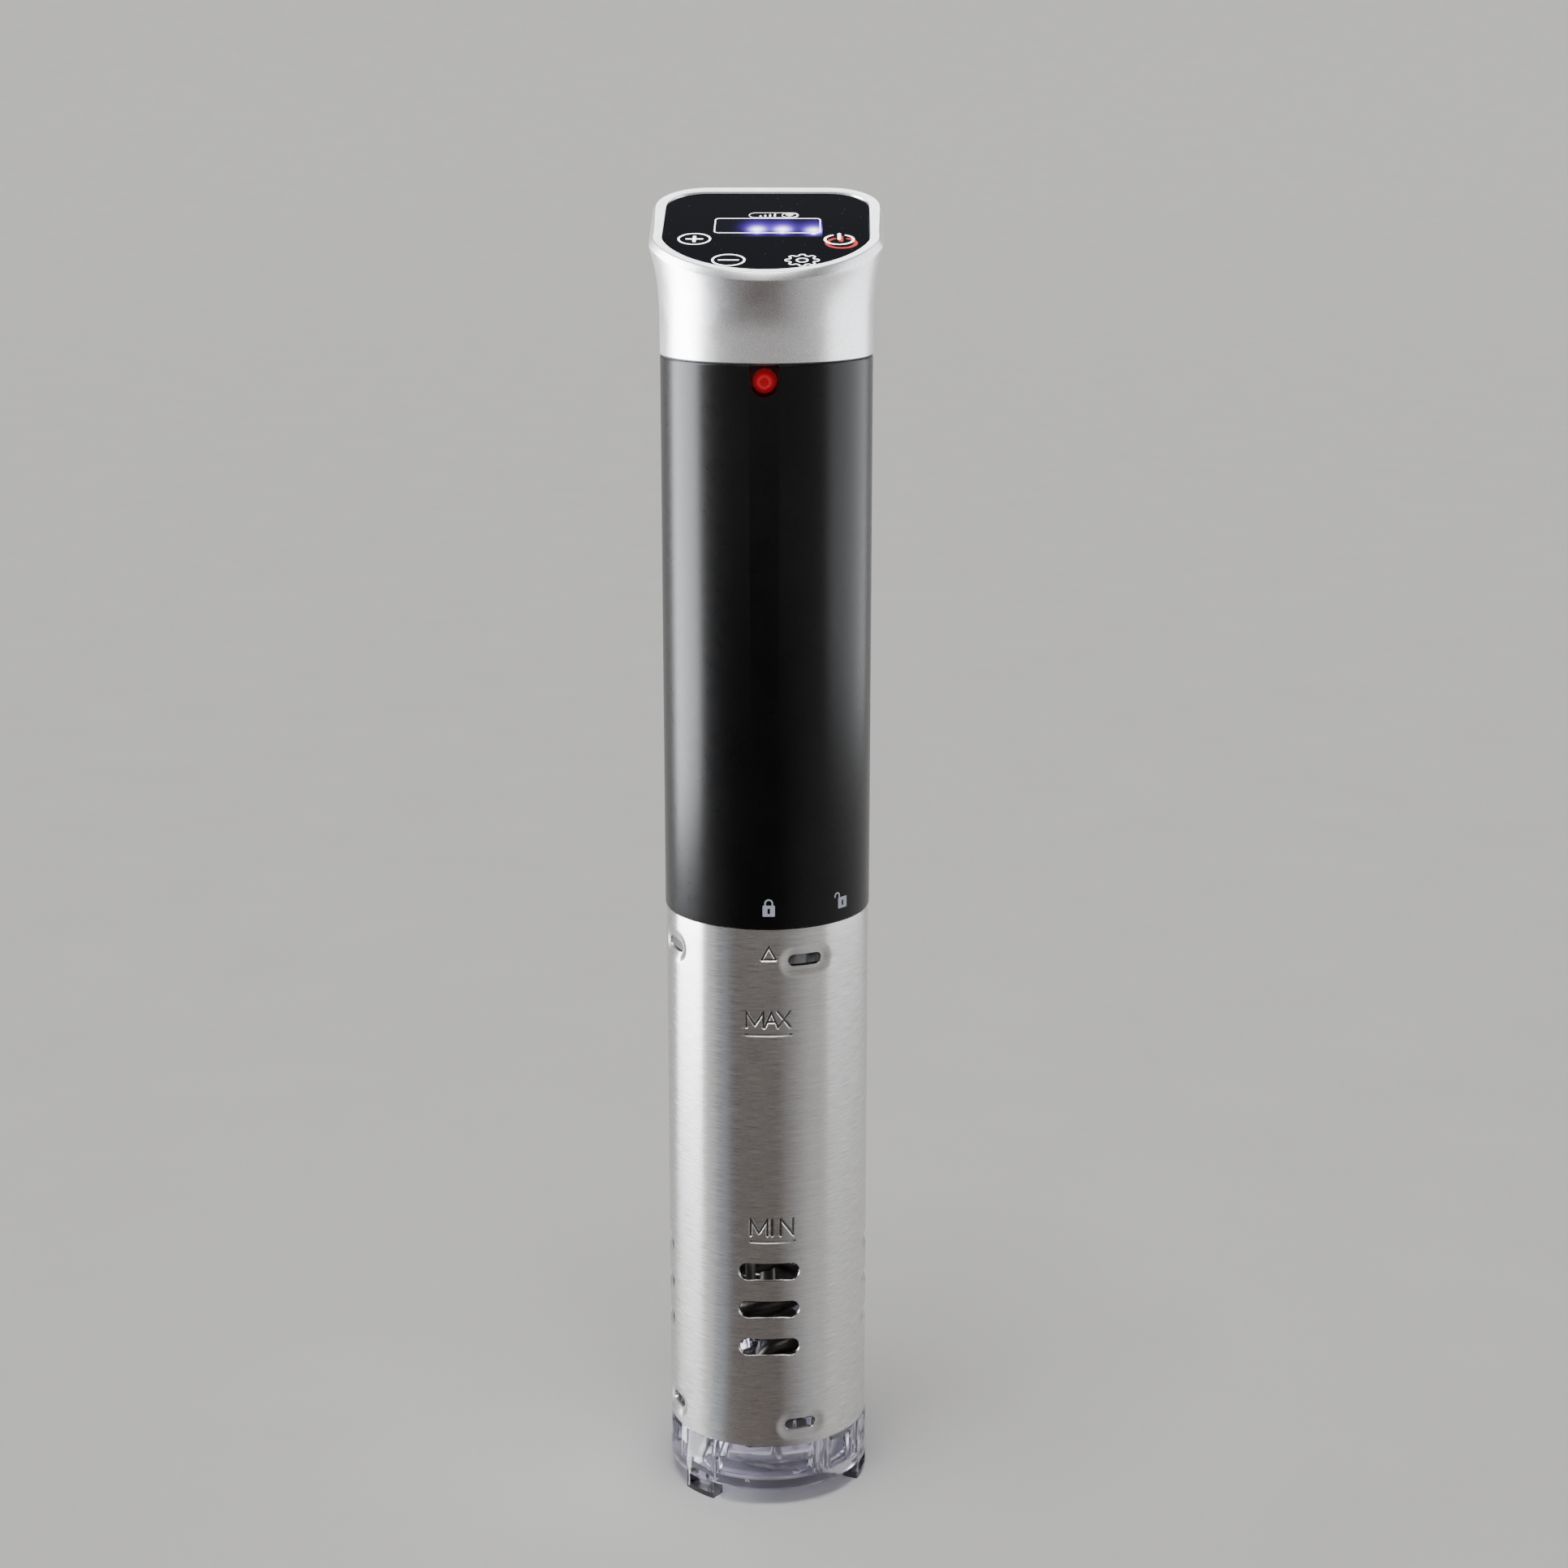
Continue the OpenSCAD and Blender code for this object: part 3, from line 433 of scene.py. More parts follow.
def display_glow():
    """Digits so bright that they bleed into violet-blue clouds with white cores."""
    s = Shader("display_glow", (0.006, 0.006, 0.016), 0.06, IOR=1.016)
    x, y, _ = s.node("ShaderNodeSeparateXYZ", Vector=s.place).outputs
    halo = core = None
    for gx, gy in GLOWS:
        u = s.math("SUBTRACT", x, gx * MM)
        for dy, wide, tall, white in CLOUDS:
            v = s.math("SUBTRACT", y, (gy + dy) * MM)
            a = s.math("POWER", s.math("DIVIDE", u, wide * MM), 2.0)
            b = s.math("POWER", s.math("DIVIDE", v, tall * MM), 2.0)
            cloud = s.math("EXPONENT", s.math("MULTIPLY", s.math("ADD", a, b), -1.0))
            if white:
                core = cloud if core is None else s.math("ADD", core, cloud)
            else:
                halo = cloud if halo is None else s.math("ADD", halo, cloud)
    tone = s.mix(s.math("MINIMUM", core, 1.0), (0.20, 0.07, 1.0), (0.82, 0.82, 1.0))
    s.feed(s.bsdf.inputs["Emission Color"], tone)
    strength = s.math("ADD", s.math("MULTIPLY", halo, 1.1), s.math("MULTIPLY", core, 4.0))
    s.feed(s.bsdf.inputs["Emission Strength"], strength)
    return s.material


MATERIALS = {
    "silver_paint": silver_paint(),
    "black_glass": black_glass(),
    "black_plastic": grip_plastic(),
    "dark_plastic": moulded("dark_plastic", (0.022, 0.022, 0.025), (0.030, 0.030, 0.034), 0.45, 0.4, 0.02),
    "smoked_plastic": clear_plastic("smoked_plastic", (0.52, 0.30, 0.38), 0.05, 1.2),
    "led_red": led_red(),
    "clear_plastic": clear_plastic("clear_plastic", (0.88, 0.86, 0.97), 0.03, 1.36, 0.92),
    "brushed_steel": brushed_steel(),
    "stainless": turned("stainless", (0.42, 0.41, 0.40), (0.34, 0.335, 0.33), 0.34),
    "heater_steel": turned("heater_steel", (0.20, 0.185, 0.18), (0.12, 0.105, 0.10), 0.4, 0.5),
    "motor_steel": turned("motor_steel", (0.46, 0.46, 0.47), (0.36, 0.36, 0.37), 0.38),
    "screw_steel": turned("screw_steel", (0.60, 0.59, 0.58), (0.48, 0.47, 0.46), 0.3, 0.12),
    "copper": turned("copper", (0.72, 0.33, 0.16), (0.55, 0.22, 0.10), 0.35, 0.4),
    "brass": turned("brass", (0.72, 0.53, 0.24), (0.58, 0.42, 0.19), 0.3, 0.3),
    "aluminium": turned("aluminium", (0.70, 0.71, 0.72), (0.62, 0.62, 0.63), 0.4, 0.3),
    "circuit_board": moulded("circuit_board", (0.02, 0.11, 0.05), (0.015, 0.075, 0.035), 0.4, 0.6, 0.02),
    "component_plastic": moulded("component_plastic", (0.05, 0.05, 0.055), (0.035, 0.035, 0.04), 0.5, 0.5,
                                 0.02),
    "seal_rubber": moulded("seal_rubber", (0.020, 0.020, 0.021), (0.028, 0.028, 0.029), 0.7, 0.3, 0.03),
    "pad_rubber": moulded("pad_rubber", (0.045, 0.045, 0.048), (0.060, 0.060, 0.063), 0.75, 0.5, 0.05),
    "white_plastic": moulded("white_plastic", (0.72, 0.72, 0.71), (0.64, 0.64, 0.63), 0.4, 0.5, 0.02),
    "bush_plastic": moulded("bush_plastic", (0.62, 0.54, 0.38), (0.55, 0.47, 0.32), 0.45, 0.4, 0.02),
}
DEBURRED = turned("deburred_edge", (0.80, 0.79, 0.77), (0.70, 0.69, 0.68), 0.18, 0.3)
# Painted shade for the bottoms of the stamped level marks.
GROOVE_SHADE = turned("groove_painted_shade", (0.16, 0.15, 0.145), (0.10, 0.095, 0.09), 0.42, 0.3)
# Painted glow: the white panel print and the grey lock print emit light, though they are no lamps.
GLOWING_WHITE_PRINT = glowing_print("white_print_painted_glow", (0.90, 0.93, 0.92), 3.2)
GLOWING_GREY_PRINT = glowing_print("grey_print_painted_glow", (0.47, 0.52, 0.60), 0.12)
RED_GLOW = glowing_print("red_glow", (0.66, 0.004, 0.010), 0.6)
GLOW = display_glow()


def dress_cad_nodes():
    """Every CAD node takes the procedural material of its slot."""
    for part in frame["record"]["subparts"]:
        mesh = frame["nodes"][part["node"]].data
        mesh.materials.clear()
        mesh.materials.append(MATERIALS[part["material_slot"]])


dress_cad_nodes()


# ---- Head ----
TURNS = 360


def outline(inset):
    """Radii of the head's D outline at whole turns of a degree from +X, softened a little."""
    w, b, q = HEAD_HALF - inset, HEAD_BACK - inset, CORNER_R - inset
    cx, cy = w - q, b - q
    radii = []
    for i in range(TURNS):
        a = 2 * math.pi * i / TURNS
        x, y = abs(math.cos(a)), math.sin(a)
        to_side = w / x if x > 0.01 else 1e3
        if y <= 0:
            radii.append(min(to_side, y + math.sqrt((FRONT_R - inset) ** 2 - x * x)))
        elif w * y > cy * x and b * x > cx * y:
            k = cx * x + cy * y
            radii.append(k + math.sqrt(k * k - cx * cx - cy * cy + q * q))
        else:
            radii.append(min(to_side, b / y if y > 0.01 else 1e3))
    kernel = np.exp(-((np.arange(-8, 9) / 3.2) ** 2))
    padded = np.concatenate([radii[-8:], radii, radii[:8]])
    return np.convolve(padded, kernel / kernel.sum(), "valid")


def plane_z(y):
    return PANEL_Z + PANEL_TAN * y


def polar(i, r, z):
    a = 2 * math.pi * i / TURNS
    return (r * math.cos(a), r * math.sin(a), z)


def on_plane(i, r, drop):
    """Point below the panel plane at radius r and turn i."""
    return (r, plane_z(r * math.sin(2 * math.pi * i / TURNS)) - drop)


def head_casing():
    outer, glass, ledge = outline(0), outline(RIM_W), outline(RIM_W + 3.75)
    rings = []
    for i in range(TURNS):
        o, g, l = outer[i], glass[i], ledge[i]
        share = 1 - (1 - BACK_BEVEL) * max(0, math.sin(2 * math.pi * i / TURNS))
        crease = on_plane(i, o, RIM_DROP * share)[1]
        section = [(GRIP_R - 0.35, HEAD_Z, 0), (GRIP_R, HEAD_Z + 0.35, 0)]
        for k in range(1, 16):
            t = k / 16
            flare = max(0, (t - 0.3) / 0.7) ** 2
            section.append((GRIP_R + (o - GRIP_R) * flare, HEAD_Z + (crease - HEAD_Z) * t, 0))
        section.append((o, crease, 0.35 * share))
        section.append((*on_plane(i, o - RIM_BEVEL * share, 0), 0.6 * share))
        section.append((*on_plane(i, g, 0), 0.25))
        section.append((*on_plane(i, g, SEAT), 0))
        section.append((*on_plane(i, l, SEAT), 0))
        section.append((*on_plane(i, l, SEAT + 2), 0))
        section.append((GRIP_R + (o - GRIP_R) * 0.3 - 2.5, crease - 5, 0))
        section.append((GRIP_R - 2.5, HEAD_Z, 0))
        rings.append([polar(i, r, z) for r, z in rounded(section, 3)])
    shell = piece("head_casing", skin(rings, along=True), MATERIALS["silver_paint"], "handle",
                  ["head_shell"], 28)
    hole = [[(x, y, z) for x, z in arc(0, GLAND_Z, GLAND_HOLE_R)] for y in (20, 40)]
    carve(shell, skin(hole, caps=True), sharp=28)
    return shell


def glass_panel():
    edge = outline(RIM_W + 0.15)
    levels = ((0.0, GLASS_RECESS + GLASS_T), (0.0, GLASS_RECESS + 0.22), (0.08, GLASS_RECESS + 0.08),
              (0.24, GLASS_RECESS), (0.9, GLASS_RECESS))
    rings = []
    for inset, drop in levels:
        rings.append([polar(i, *on_plane(i, edge[i] - inset, drop)) for i in range(TURNS)])
    return piece("touch_glass", skin(rings, caps=True), MATERIALS["black_glass"], "handle",
                 ["panel_glass"], 50)


# ---- Printed marks: flat strokes of a given width, laid on the glass or on the tube ----
def stroke(points, width, closed=False):
    """A ribbon along 2-D points, with round ends, as rows of (x, y, height)."""
    pts = [Vector(p) for p in points]
    n = len(pts)
    half = width / 2
    rows = []

    def row(centre, normal, reach):
        a, b = centre + normal * reach, centre - normal * reach
        rows.append([(a.x, a.y, 1), (b.x, b.y, 1), (b.x, b.y, 0), (a.x, a.y, 0)])

    for i, p in enumerate(pts):
        before = pts[i - 1] if closed or i else p
        after = pts[(i + 1) % n] if closed or i < n - 1 else p
        ahead = (after - before).normalized()
        normal = Vector((-ahead.y, ahead.x))
        if not closed and i == 0:
            for k in range(4):
                f = math.cos(math.pi / 2 * k / 4)
                row(p - ahead * half * f, normal, half * math.sqrt(max(0.02, 1 - f * f)))
        row(p, normal, half)
        if not closed and i == n - 1:
            for k in range(1, 5):
                f = math.sin(math.pi / 2 * k / 4)
                row(p + ahead * half * f, normal, half * math.sqrt(max(0.02, 1 - f * f)))
    return skin(rows, along=closed, caps=not closed)


def arc(cx, cy, r, a0=0.0, a1=360.0, steps=48):
    """Points on a circle; a full one leaves out its last point."""
    n = steps if a1 - a0 >= 360 else steps + 1
    return [(cx + r * math.cos(math.radians(a0 + (a1 - a0) * k / steps)),
             cy + r * math.sin(math.radians(a0 + (a1 - a0) * k / steps))) for k in range(n)]


def ring(cx, cy, r, width):
    return stroke(arc(cx, cy, r), width, True)


def box_outline(x0, y0, x1, y1, r):
    return rounded([(x0, y0, r), (x1, y0, r), (x1, y1, r), (x0, y1, r)], 6)


def plate(points):
    """A flat plate with that outline."""
    return skin([[(x, y, h) for x, y in points] for h in (0, 1)], caps=True)


def laid(shapes, place, low, high):
    """Puts flat shapes on a surface: place(x, y, height) gives the point."""
    verts, faces = joined(*shapes)
    return [place(x, y, low + (high - low) * h) for x, y, h in verts], faces


PANEL_NORMAL = Vector((0, -PANEL_TAN, 1)).normalized()


def on_glass(x, y, height):
    foot = Vector((x, y, plane_z(y) - GLASS_RECESS))
    return tuple(foot + PANEL_NORMAL * height)


def on_tube(x, z, height):
    return around(GRIP_R + height, math.degrees(x / GRIP_R), z)


KEY_R = 4.37
KEY_LINE = 0.58
KEY_SQUASH = 0.92
PLUS, MINUS, GEAR, POWER = (-19.85, -5.8), (-9.9, -21.3), (10.2, -21.4), (20.3, -6.1)
DISPLAY = (-14.5, -1.15, 15.0, 9.85)


def at_key(spot, *shapes):
    """Shapes drawn round a key's middle, put at its spot as seen from above."""
    verts, faces = joined(*shapes)
    return [(spot[0] + x, spot[1] + y * KEY_SQUASH, h) for x, y, h in verts], faces


def panel_marks():
    circle = ring(0, 0, KEY_R, KEY_LINE)
    level_bar = stroke([(-2.1, 0), (2.1, 0)], 0.8)
    upright_bar = stroke([(0, -2.1), (0, 2.1)], 0.95)
    teeth = []
    for k in range(160):
        a = 2 * math.pi * k / 160
        r = 4.0 + 0.55 * math.tanh(2.6 * math.cos(8 * a))
        teeth.append((r * math.cos(a), r * math.sin(a)))
    power_arc = stroke(arc(0, 0, 3.95, 118, 422), 0.72)
    power_bar = stroke([(0, 0.3), (0, 4.6)], 0.95)
    marks = [
        at_key(PLUS, circle, level_bar, upright_bar),
        at_key(MINUS, circle, stroke([(-2.6, 0), (2.6, 0)], 0.62)),
        at_key(GEAR, stroke(teeth, 0.46, True), ring(0, 0, 1.5, 0.48)),
        at_key(POWER, power_arc, power_bar),
        stroke(box_outline(*DISPLAY, 1.2), 0.34, True),
        stroke(box_outline(-5.1, 10.6, 8.75, 14.2, 1.75), 0.2, True),
        stroke(box_outline(4.2, 10.9, 8.45, 13.9, 1.45), 0.2, True)]
    marks += [stroke(arc(6.3, 11.5, r, 50, 130, 10), 0.3) for r in (0.5, 1.1, 1.7)]
    marks += [stroke([(x, 11.5), (x, 11.9 + 0.33 * x + 0.63)], 0.5) for x in (-1.9, -0.55, 0.8, 2.15)]
    # The white marks glow with painted light.
    piece("panel_marks", laid(marks, on_glass, 0.012, 0.04), GLOWING_WHITE_PRINT, "handle")
    shade = at_key((POWER[0] + 0.6, POWER[1] - 2.6), stroke(arc(0, 0, 4.0, 118, 422), 1.15),
                   stroke([(-0.1, 1.6), (-0.1, 5.2)], 1.3))
    piece("power_glow", laid([shade], on_glass, 0.004, 0.011), RED_GLOW, "handle")


def display_window():
    x0, _, x1, y1 = DISPLAY
    area = box_outline(x0 + 0.1, -4.2, x1 + 0.6, y1 - 0.1, 1.1)
    piece("display_window", laid([plate(area)], on_glass, 0.002, 0.008), GLOW, "handle")


def lock_marks():
    """Closed padlock at the front, open padlock at the end of the sleeve's turn."""
    shapes = []
    for turn, lifted in ((LOCK_ANGLE, False), (LOCK_ANGLE + 45.3, True)):
        x = GRIP_R * math.radians(turn)
        left, right, low, high = x - 1.76, x + 1.76, GRIP_Z + 3.8, GRIP_Z + 7.1
        gap = 0.36
        body = [box_outline(left, low, x - gap, high, 0.26), box_outline(x + gap, low, right, high, 0.26),
                [(x - gap, low), (x + gap, low), (x + gap, low + 0.8), (x - gap, low + 0.8)],
                [(x - gap, high - 0.95), (x + gap, high - 0.95), (x + gap, high), (x - gap, high)]]
        shapes += [plate(outline_2d) for outline_2d in body]
        cx, bow_r = (x - 2.15, 0.85) if lifted else (x, 1.04)
        bow = arc(cx, high + 0.6, bow_r, 0, 180, 16)
        bow = [(cx + bow_r, high)] + bow + [(cx - bow_r, high + (0.35 if lifted else 0.0))]
        shapes.append(stroke(bow, 0.46))
    # The grey lock marks glow faintly with painted light.
    piece("lock_marks", laid(shapes, on_tube, 0.01, 0.035), GLOWING_GREY_PRINT, "handle")


# ---- Grip and status light ----
def d_outline(grow, steps=24):
    """Flat top at the seam, round below, as (x, z)."""
    r = LIGHT_W / 2 + grow
    bottom = [(x, z) for x, z in arc(0, LIGHT_Z, r, 180, 360, steps)]
    return bottom + [(r, GRIP_TOP + 1), (-r, GRIP_TOP + 1)]


def grip_shell():
    wall = 2.4
    profile = rounded([(GRIP_R, GRIP_Z, 0.4), (GRIP_R, GRIP_TOP, 0.45), (GRIP_R - wall, GRIP_TOP, 0),
                       (GRIP_R - wall, GRIP_Z, 0)], 4)
    shell = piece("grip_shell", revolve(profile, 256), MATERIALS["black_plastic"], "handle",
                  ["grip_housing"])
    hole = [[(x, y, z) for x, z in d_outline(0.1)] for y in (-34, -24)]
    carve(shell, skin(hole, caps=True))
    screws = []
    for screw_z in CLAMP_SCREW_HEIGHTS:
        circle = arc(0, screw_z, CLAMP_SCREW_R, steps=24)
        screws.append(skin([[(x, y, z) for x, z in circle] for y in (24, 34)], caps=True))
    carve(shell, joined(*screws))


def status_light():
    """Smoked window with a soft edge, and the lens with its inner ring behind it."""
    rings = []
    for grow, r in ((-0.02, 28.5), (-0.02, GRIP_R - 0.35), (-0.12, GRIP_R - 0.12), (-0.4, GRIP_R - 0.04)):
        flat = d_outline(grow)
        top = GRIP_TOP + 0.02 + grow
        rings.append([around(r, math.degrees(math.asin(x / GRIP_R)), min(z, top)) for x, z in flat])
    piece("status_lens", skin(rings, caps=True), MATERIALS["smoked_plastic"], "handle",
          ["status_window"], 50)
    profile = [(0.0, -28.2), (0.9, -28.15), (1.1, -27.9), (1.5, -27.9), (1.75, -28.2), (2.4, -28.05),
               (2.9, -27.6), (3.1, -27.0), (3.1, -23.0), (0.0, -23.0)]
    lens = [[(x, y, z) for x, z in arc(0, LIGHT_Z, r, steps=64)] for r, y in profile if r]
    piece("status_lamp", skin(lens, caps=True), MATERIALS["led_red"], "handle",
          ["status_led"], 60)


# ---- Steel sleeve ----
SLOT_H, SLOT_W, SLOT_Z, SLOT_PITCH = 5.1, 18.0, 51.5, 12.0
# Slits of the pressed lugs at each end: first and last angle, height of one edge, side that they open to
UPPER = (11.5, 31.2, GRIP_Z - 11.5, 1)
LOWER = (9.7, 28.2, SLEEVE_Z + 7.4, -1)
SLIT_H = 3.1
# How deep the sheet is pressed in round a slit, how far that reaches and the width over which it fades
DISH, DISH_REACH, DISH_FADE = 0.8, 5.0, 3.3
MARK_DEPTH = 0.3
# Bands of height with stamped marks or lugs, and the mesh's step there
DETAIL_BANDS = ((84.2, 93.0, 0.13), (148.2, 156.9, 0.13), (170.9, 176.3, 0.15), (162.0, 175.5, 0.4),
                (19.0, 35.0, 0.4))
QUARTERS = [LOCK_ANGLE + q for q in (-180, -90, 0, 90)]
LETTER_WIDTHS = {"M": 5.0, "A": 3.9, "X": 3.6, "I": 1.0, "N": 3.8}
# Letters as strokes on a square one unit high
LETTERS = {
    "M": [[(0, 0), (0, 1), (0.5, 0.15), (1, 1), (1, 0)]],
    "A": [[(0, 0), (0.5, 1), (1, 0)], [(0.2, 0.36), (0.8, 0.36)]],
    "X": [[(0, 0), (1, 1)], [(0, 1), (1, 0)]],
    "I": [[(0.5, 0), (0.5, 1)]],
    "N": [[(0, 0), (0, 1), (1, 0), (1, 1)]],
}


def level_marks():
    """Strokes of the stamped level marks on the unrolled sleeve, as pairs of points in mm."""
    strokes = []
    for word, left, spots, z0, z1, line_z in (
            ("MAX", -6.6, (0.0, 5.4, 9.2), 151.3, 156.0, 149.0),
            ("MIN", -5.5, (0.0, 5.9, 8.9), 87.0, 92.1, 85.0)):
        for letter, shift in zip(word, spots):
            wide = LETTER_WIDTHS[letter]
            for line in LETTERS[letter]:
                pts = [(left + shift + x * wide, z0 + y * (z1 - z0)) for x, y in line]
                strokes += list(zip(pts, pts[1:]))
        strokes.append(((left, line_z), (left + 13.1, line_z)))
    tip, base = SLEEVE_Z + 155.6, SLEEVE_Z + 151.7
    strokes += [((-2.1, base), (2.1, base)), ((-2.1, base), (0.0, tip)), ((0.0, tip), (2.1, base))]
    return strokes


def level_groove_shade():
    """Painted shade: darker steel laid in the bottoms of the stamped grooves."""
    lines = [stroke([a, b], 0.32) for a, b in level_marks()]

    def in_groove(x, z, height):
        return around(SLEEVE_R - MARK_DEPTH + height, LOCK_ANGLE + math.degrees(x / SLEEVE_R), z)

    piece("level_groove_shade", laid(lines, in_groove, -0.02, 0.09), GROOVE_SHADE, "sleeve")


def smoothstep(t):
    t = np.clip(t, 0, 1)
    return t * t * (3 - 2 * t)


def sheet_depth(angle, z):
    """How far the sheet is pressed in at each point: stamped marks and lanced lugs."""
    arc_mm = np.radians(angle - LOCK_ANGLE) * SLEEVE_R
    depth = np.zeros_like(z)
    for (x0, z0), (x1, z1) in level_marks():
        dx, dz = x1 - x0, z1 - z0
        t = np.clip(((arc_mm - x0) * dx + (z - z0) * dz) / (dx * dx + dz * dz), 0, 1)
        gap = np.hypot(arc_mm - x0 - t * dx, z - z0 - t * dz)
        depth = np.maximum(depth, MARK_DEPTH * smoothstep((0.5 - gap) / 0.3))
    for a0, a1, edge, side in (UPPER, LOWER):
        local = np.mod(angle - LOCK_ANGLE, 90)
        straight_half = math.radians(a1 - a0) * SLEEVE_R / 2 - SLIT_H / 2
        along = np.abs(np.radians(local - (a0 + a1) / 2)) * SLEEVE_R
        gap = np.hypot(np.maximum(along - straight_half, 0), z - edge - side * SLIT_H / 2)
        depth += DISH * smoothstep((DISH_REACH - gap) / DISH_FADE)
    return depth


def spread(low, high, step):
    return list(np.arange(low, high + step / 2, step))


def sleeve_grid():
    """Angles and heights of the sleeve's mesh, close together where it has detail."""
    angles = spread(-180, 177, 3) + spread(LOCK_ANGLE - 13, LOCK_ANGLE + 18.6, 0.2)
    for q in QUARTERS:
        angles += spread(q + 5, q + 37, 0.6)
    heights = [SLEEVE_Z, SLEEVE_TOP] + spread(SLEEVE_Z + 4, SLEEVE_TOP - 4, 4)
    for z0, z1, step in DETAIL_BANDS:
        heights += spread(z0, z1, step)

    def thinned(values, least):
        kept = []
        for v in sorted(values):
            if not kept or v - kept[-1] > least:
                kept.append(v)
        return np.array(kept)

    z = thinned(heights, 0.1)
    z[-1] = SLEEVE_TOP
    return thinned(angles, 0.15), z


def steel_tube():
    angles, heights = sleeve_grid()
    grid_a, grid_z = np.meshgrid(angles, heights, indexing="ij")
    depth = sheet_depth(grid_a, grid_z)
    rim = 0.12
    rings = []
    for i, a in enumerate(angles):
        outer = [around(SLEEVE_R - rim, a, SLEEVE_Z)]
        outer += [around(SLEEVE_R - depth[i, j], a, z) for j, z in list(enumerate(heights))[1:-1]]
        outer.append(around(SLEEVE_R - rim, a, SLEEVE_TOP))
        inner = [around(SLEEVE_R - SLEEVE_WALL - depth[i, j], a, z)
                 for j, z in list(enumerate(heights))[::-1]]
        rings.append(outer + inner)
    tube = piece("steel_tube", skin(rings, along=True), MATERIALS["brushed_steel"], "sleeve",
                 ["steel_sleeve"])
    cutters = []
    for q in QUARTERS:
        for row in range(3):
            z = SLOT_Z + row * SLOT_PITCH
            cutters.append(radial_cutter(q, z, SLOT_W, SLOT_H, SLOT_H / 2))
        for a0, a1, edge, side in (UPPER, LOWER):
            middle = edge + side * SLIT_H / 2
            width = math.radians(a1 - a0) * SLEEVE_R
            cutters.append(radial_cutter(q + (a0 + a1) / 2, middle, width, SLIT_H, 1.5, DISH))
    carve(tube, joined(*cutters), DEBURRED)


def radial_cutter(angle, z, width, height, r, sunk=0.0):
    """Prism through the wall with round corners, a little wider at the outer surface."""
    rings = []
    face = SLEEVE_R - sunk
    for radius, grow in ((face - 6, 0.0), (face - 0.3, 0.0), (face + 0.05, 0.22), (SLEEVE_R + 3, 0.22)):
        x, y = width / 2 + grow, height / 2 + grow
        flat = rounded([(-x, -y, r + grow - 0.01), (x, -y, r + grow - 0.01), (x, y, r + grow - 0.01),
                        (-x, y, r + grow - 0.01)], 10)
        rings.append([around(radius, angle + math.degrees(u / SLEEVE_R), z + v) for u, v in flat])
    return skin(rings, caps=True)


# ---- Heater: a folded tube wound as two starts, on the path that the frame's node has ----
COIL_R, COIL_TUBE_R, COIL_RISE, COIL_LOW = 15.0, 3.2, 30.0, 44.4
COIL_START = -345
BEND_R = 9.0
LEAD_HEIGHTS = (140, 125, 110, 100)


def heater_tube():
    rise = math.atan(COIL_RISE / (2 * math.pi * COIL_R))
    fold_r = COIL_RISE / 4 * math.cos(rise)
    up = Vector((math.cos(rise), math.sin(rise)))
    side = Vector((-math.sin(rise), math.cos(rise)))
    lap = 2 * math.pi * COIL_R / math.cos(rise)
    upper_low = Vector((0, COIL_LOW))
    lower_low = upper_low - 2 * fold_r * side
    upper_high, lower_high = upper_low + 0.95 * lap * up, lower_low + 1.2 * lap * up
    lead_top = size("heater_coil")[1].z

    def bend(centre, a0, a1, r, steps=14):
        out = []
        for k in range(steps + 1):
            a = a0 + (a1 - a0) * k / steps
            heading = a + math.copysign(math.pi / 2, a1 - a0)
            out.append((centre.x + r * math.cos(a), centre.y + r * math.sin(a), heading))
        return out

    def straight(p, q, heading, steps):
        return [(*p.lerp(q, k / steps), heading) for k in range(1, steps)]

    upper_bend, lower_bend = upper_high + BEND_R * side, lower_high + BEND_R * side
    quarter = math.pi / 2
    path = [(upper_bend.x + BEND_R, z, 3 * quarter) for z in (lead_top, *LEAD_HEIGHTS)]
    path += bend(upper_bend, 0, rise - quarter, BEND_R)
    path += straight(upper_high, upper_low, math.pi + rise, 48)
    path += bend(upper_low - fold_r * side, quarter + rise, 3 * quarter + rise, fold_r)
    path += straight(lower_low, lower_high, rise, 60)
    path += bend(lower_bend, rise - quarter, 0, BEND_R)
    path += [(lower_bend.x + BEND_R, z, quarter) for z in (*LEAD_HEIGHTS[::-1], lead_top)]
    rings = []
    for s, z, heading in path:
        a = math.radians(COIL_START) + s / COIL_R
        out = Vector((math.sin(a), -math.cos(a), 0))
        flat = Vector((math.cos(a), math.sin(a), 0))
        ahead = math.cos(heading) * flat + Vector((0, 0, math.sin(heading)))
        across = ahead.cross(out)
        centre = COIL_R * out + Vector((0, 0, z))
        rings.append([centre + COIL_TUBE_R * (math.cos(f) * out + math.sin(f) * across)
                      for f in np.linspace(0, 2 * math.pi, 25)[:-1]])
    piece("heater_tube", skin(rings, caps=True), MATERIALS["heater_steel"], "handle",
          ["heater_coil"], 60)


# ---- Build ----
head_casing()
glass_panel()
panel_marks()
display_window()
lock_marks()
grip_shell()
status_light()
steel_tube()
level_groove_shade()
heater_tube()
REFINED = (
    ("clear_foot", "base_cap", "foot", "clear_plastic", 0.22),
    ("clamp_body", "clamp_bracket", "handle", "black_plastic", 0.6),
    ("clamp_arm", "clamp_lever", "clamp", "black_plastic", 0.8),
    ("arm_pad", "clamp_pad", "clamp", "pad_rubber", 0.35),
    ("body_pad", "fixed_pad", "handle", "pad_rubber", 0.35),
    ("gland_body", "cord_gland", "handle", "dark_plastic", 0.5),
    ("bayonet_ring", "bayonet_collar", "handle", "dark_plastic", 0.25),
    ("bottom_plate", "seal_plate", "handle", "stainless", 0.2),
    ("pump_wheel", "impeller", "drive", "white_plastic", 0.2),
)
for new_name, node_name, body_name, slot_name, round_mm in REFINED:
    refined(new_name, node_name, MATERIALS[slot_name], body_name, round_mm)


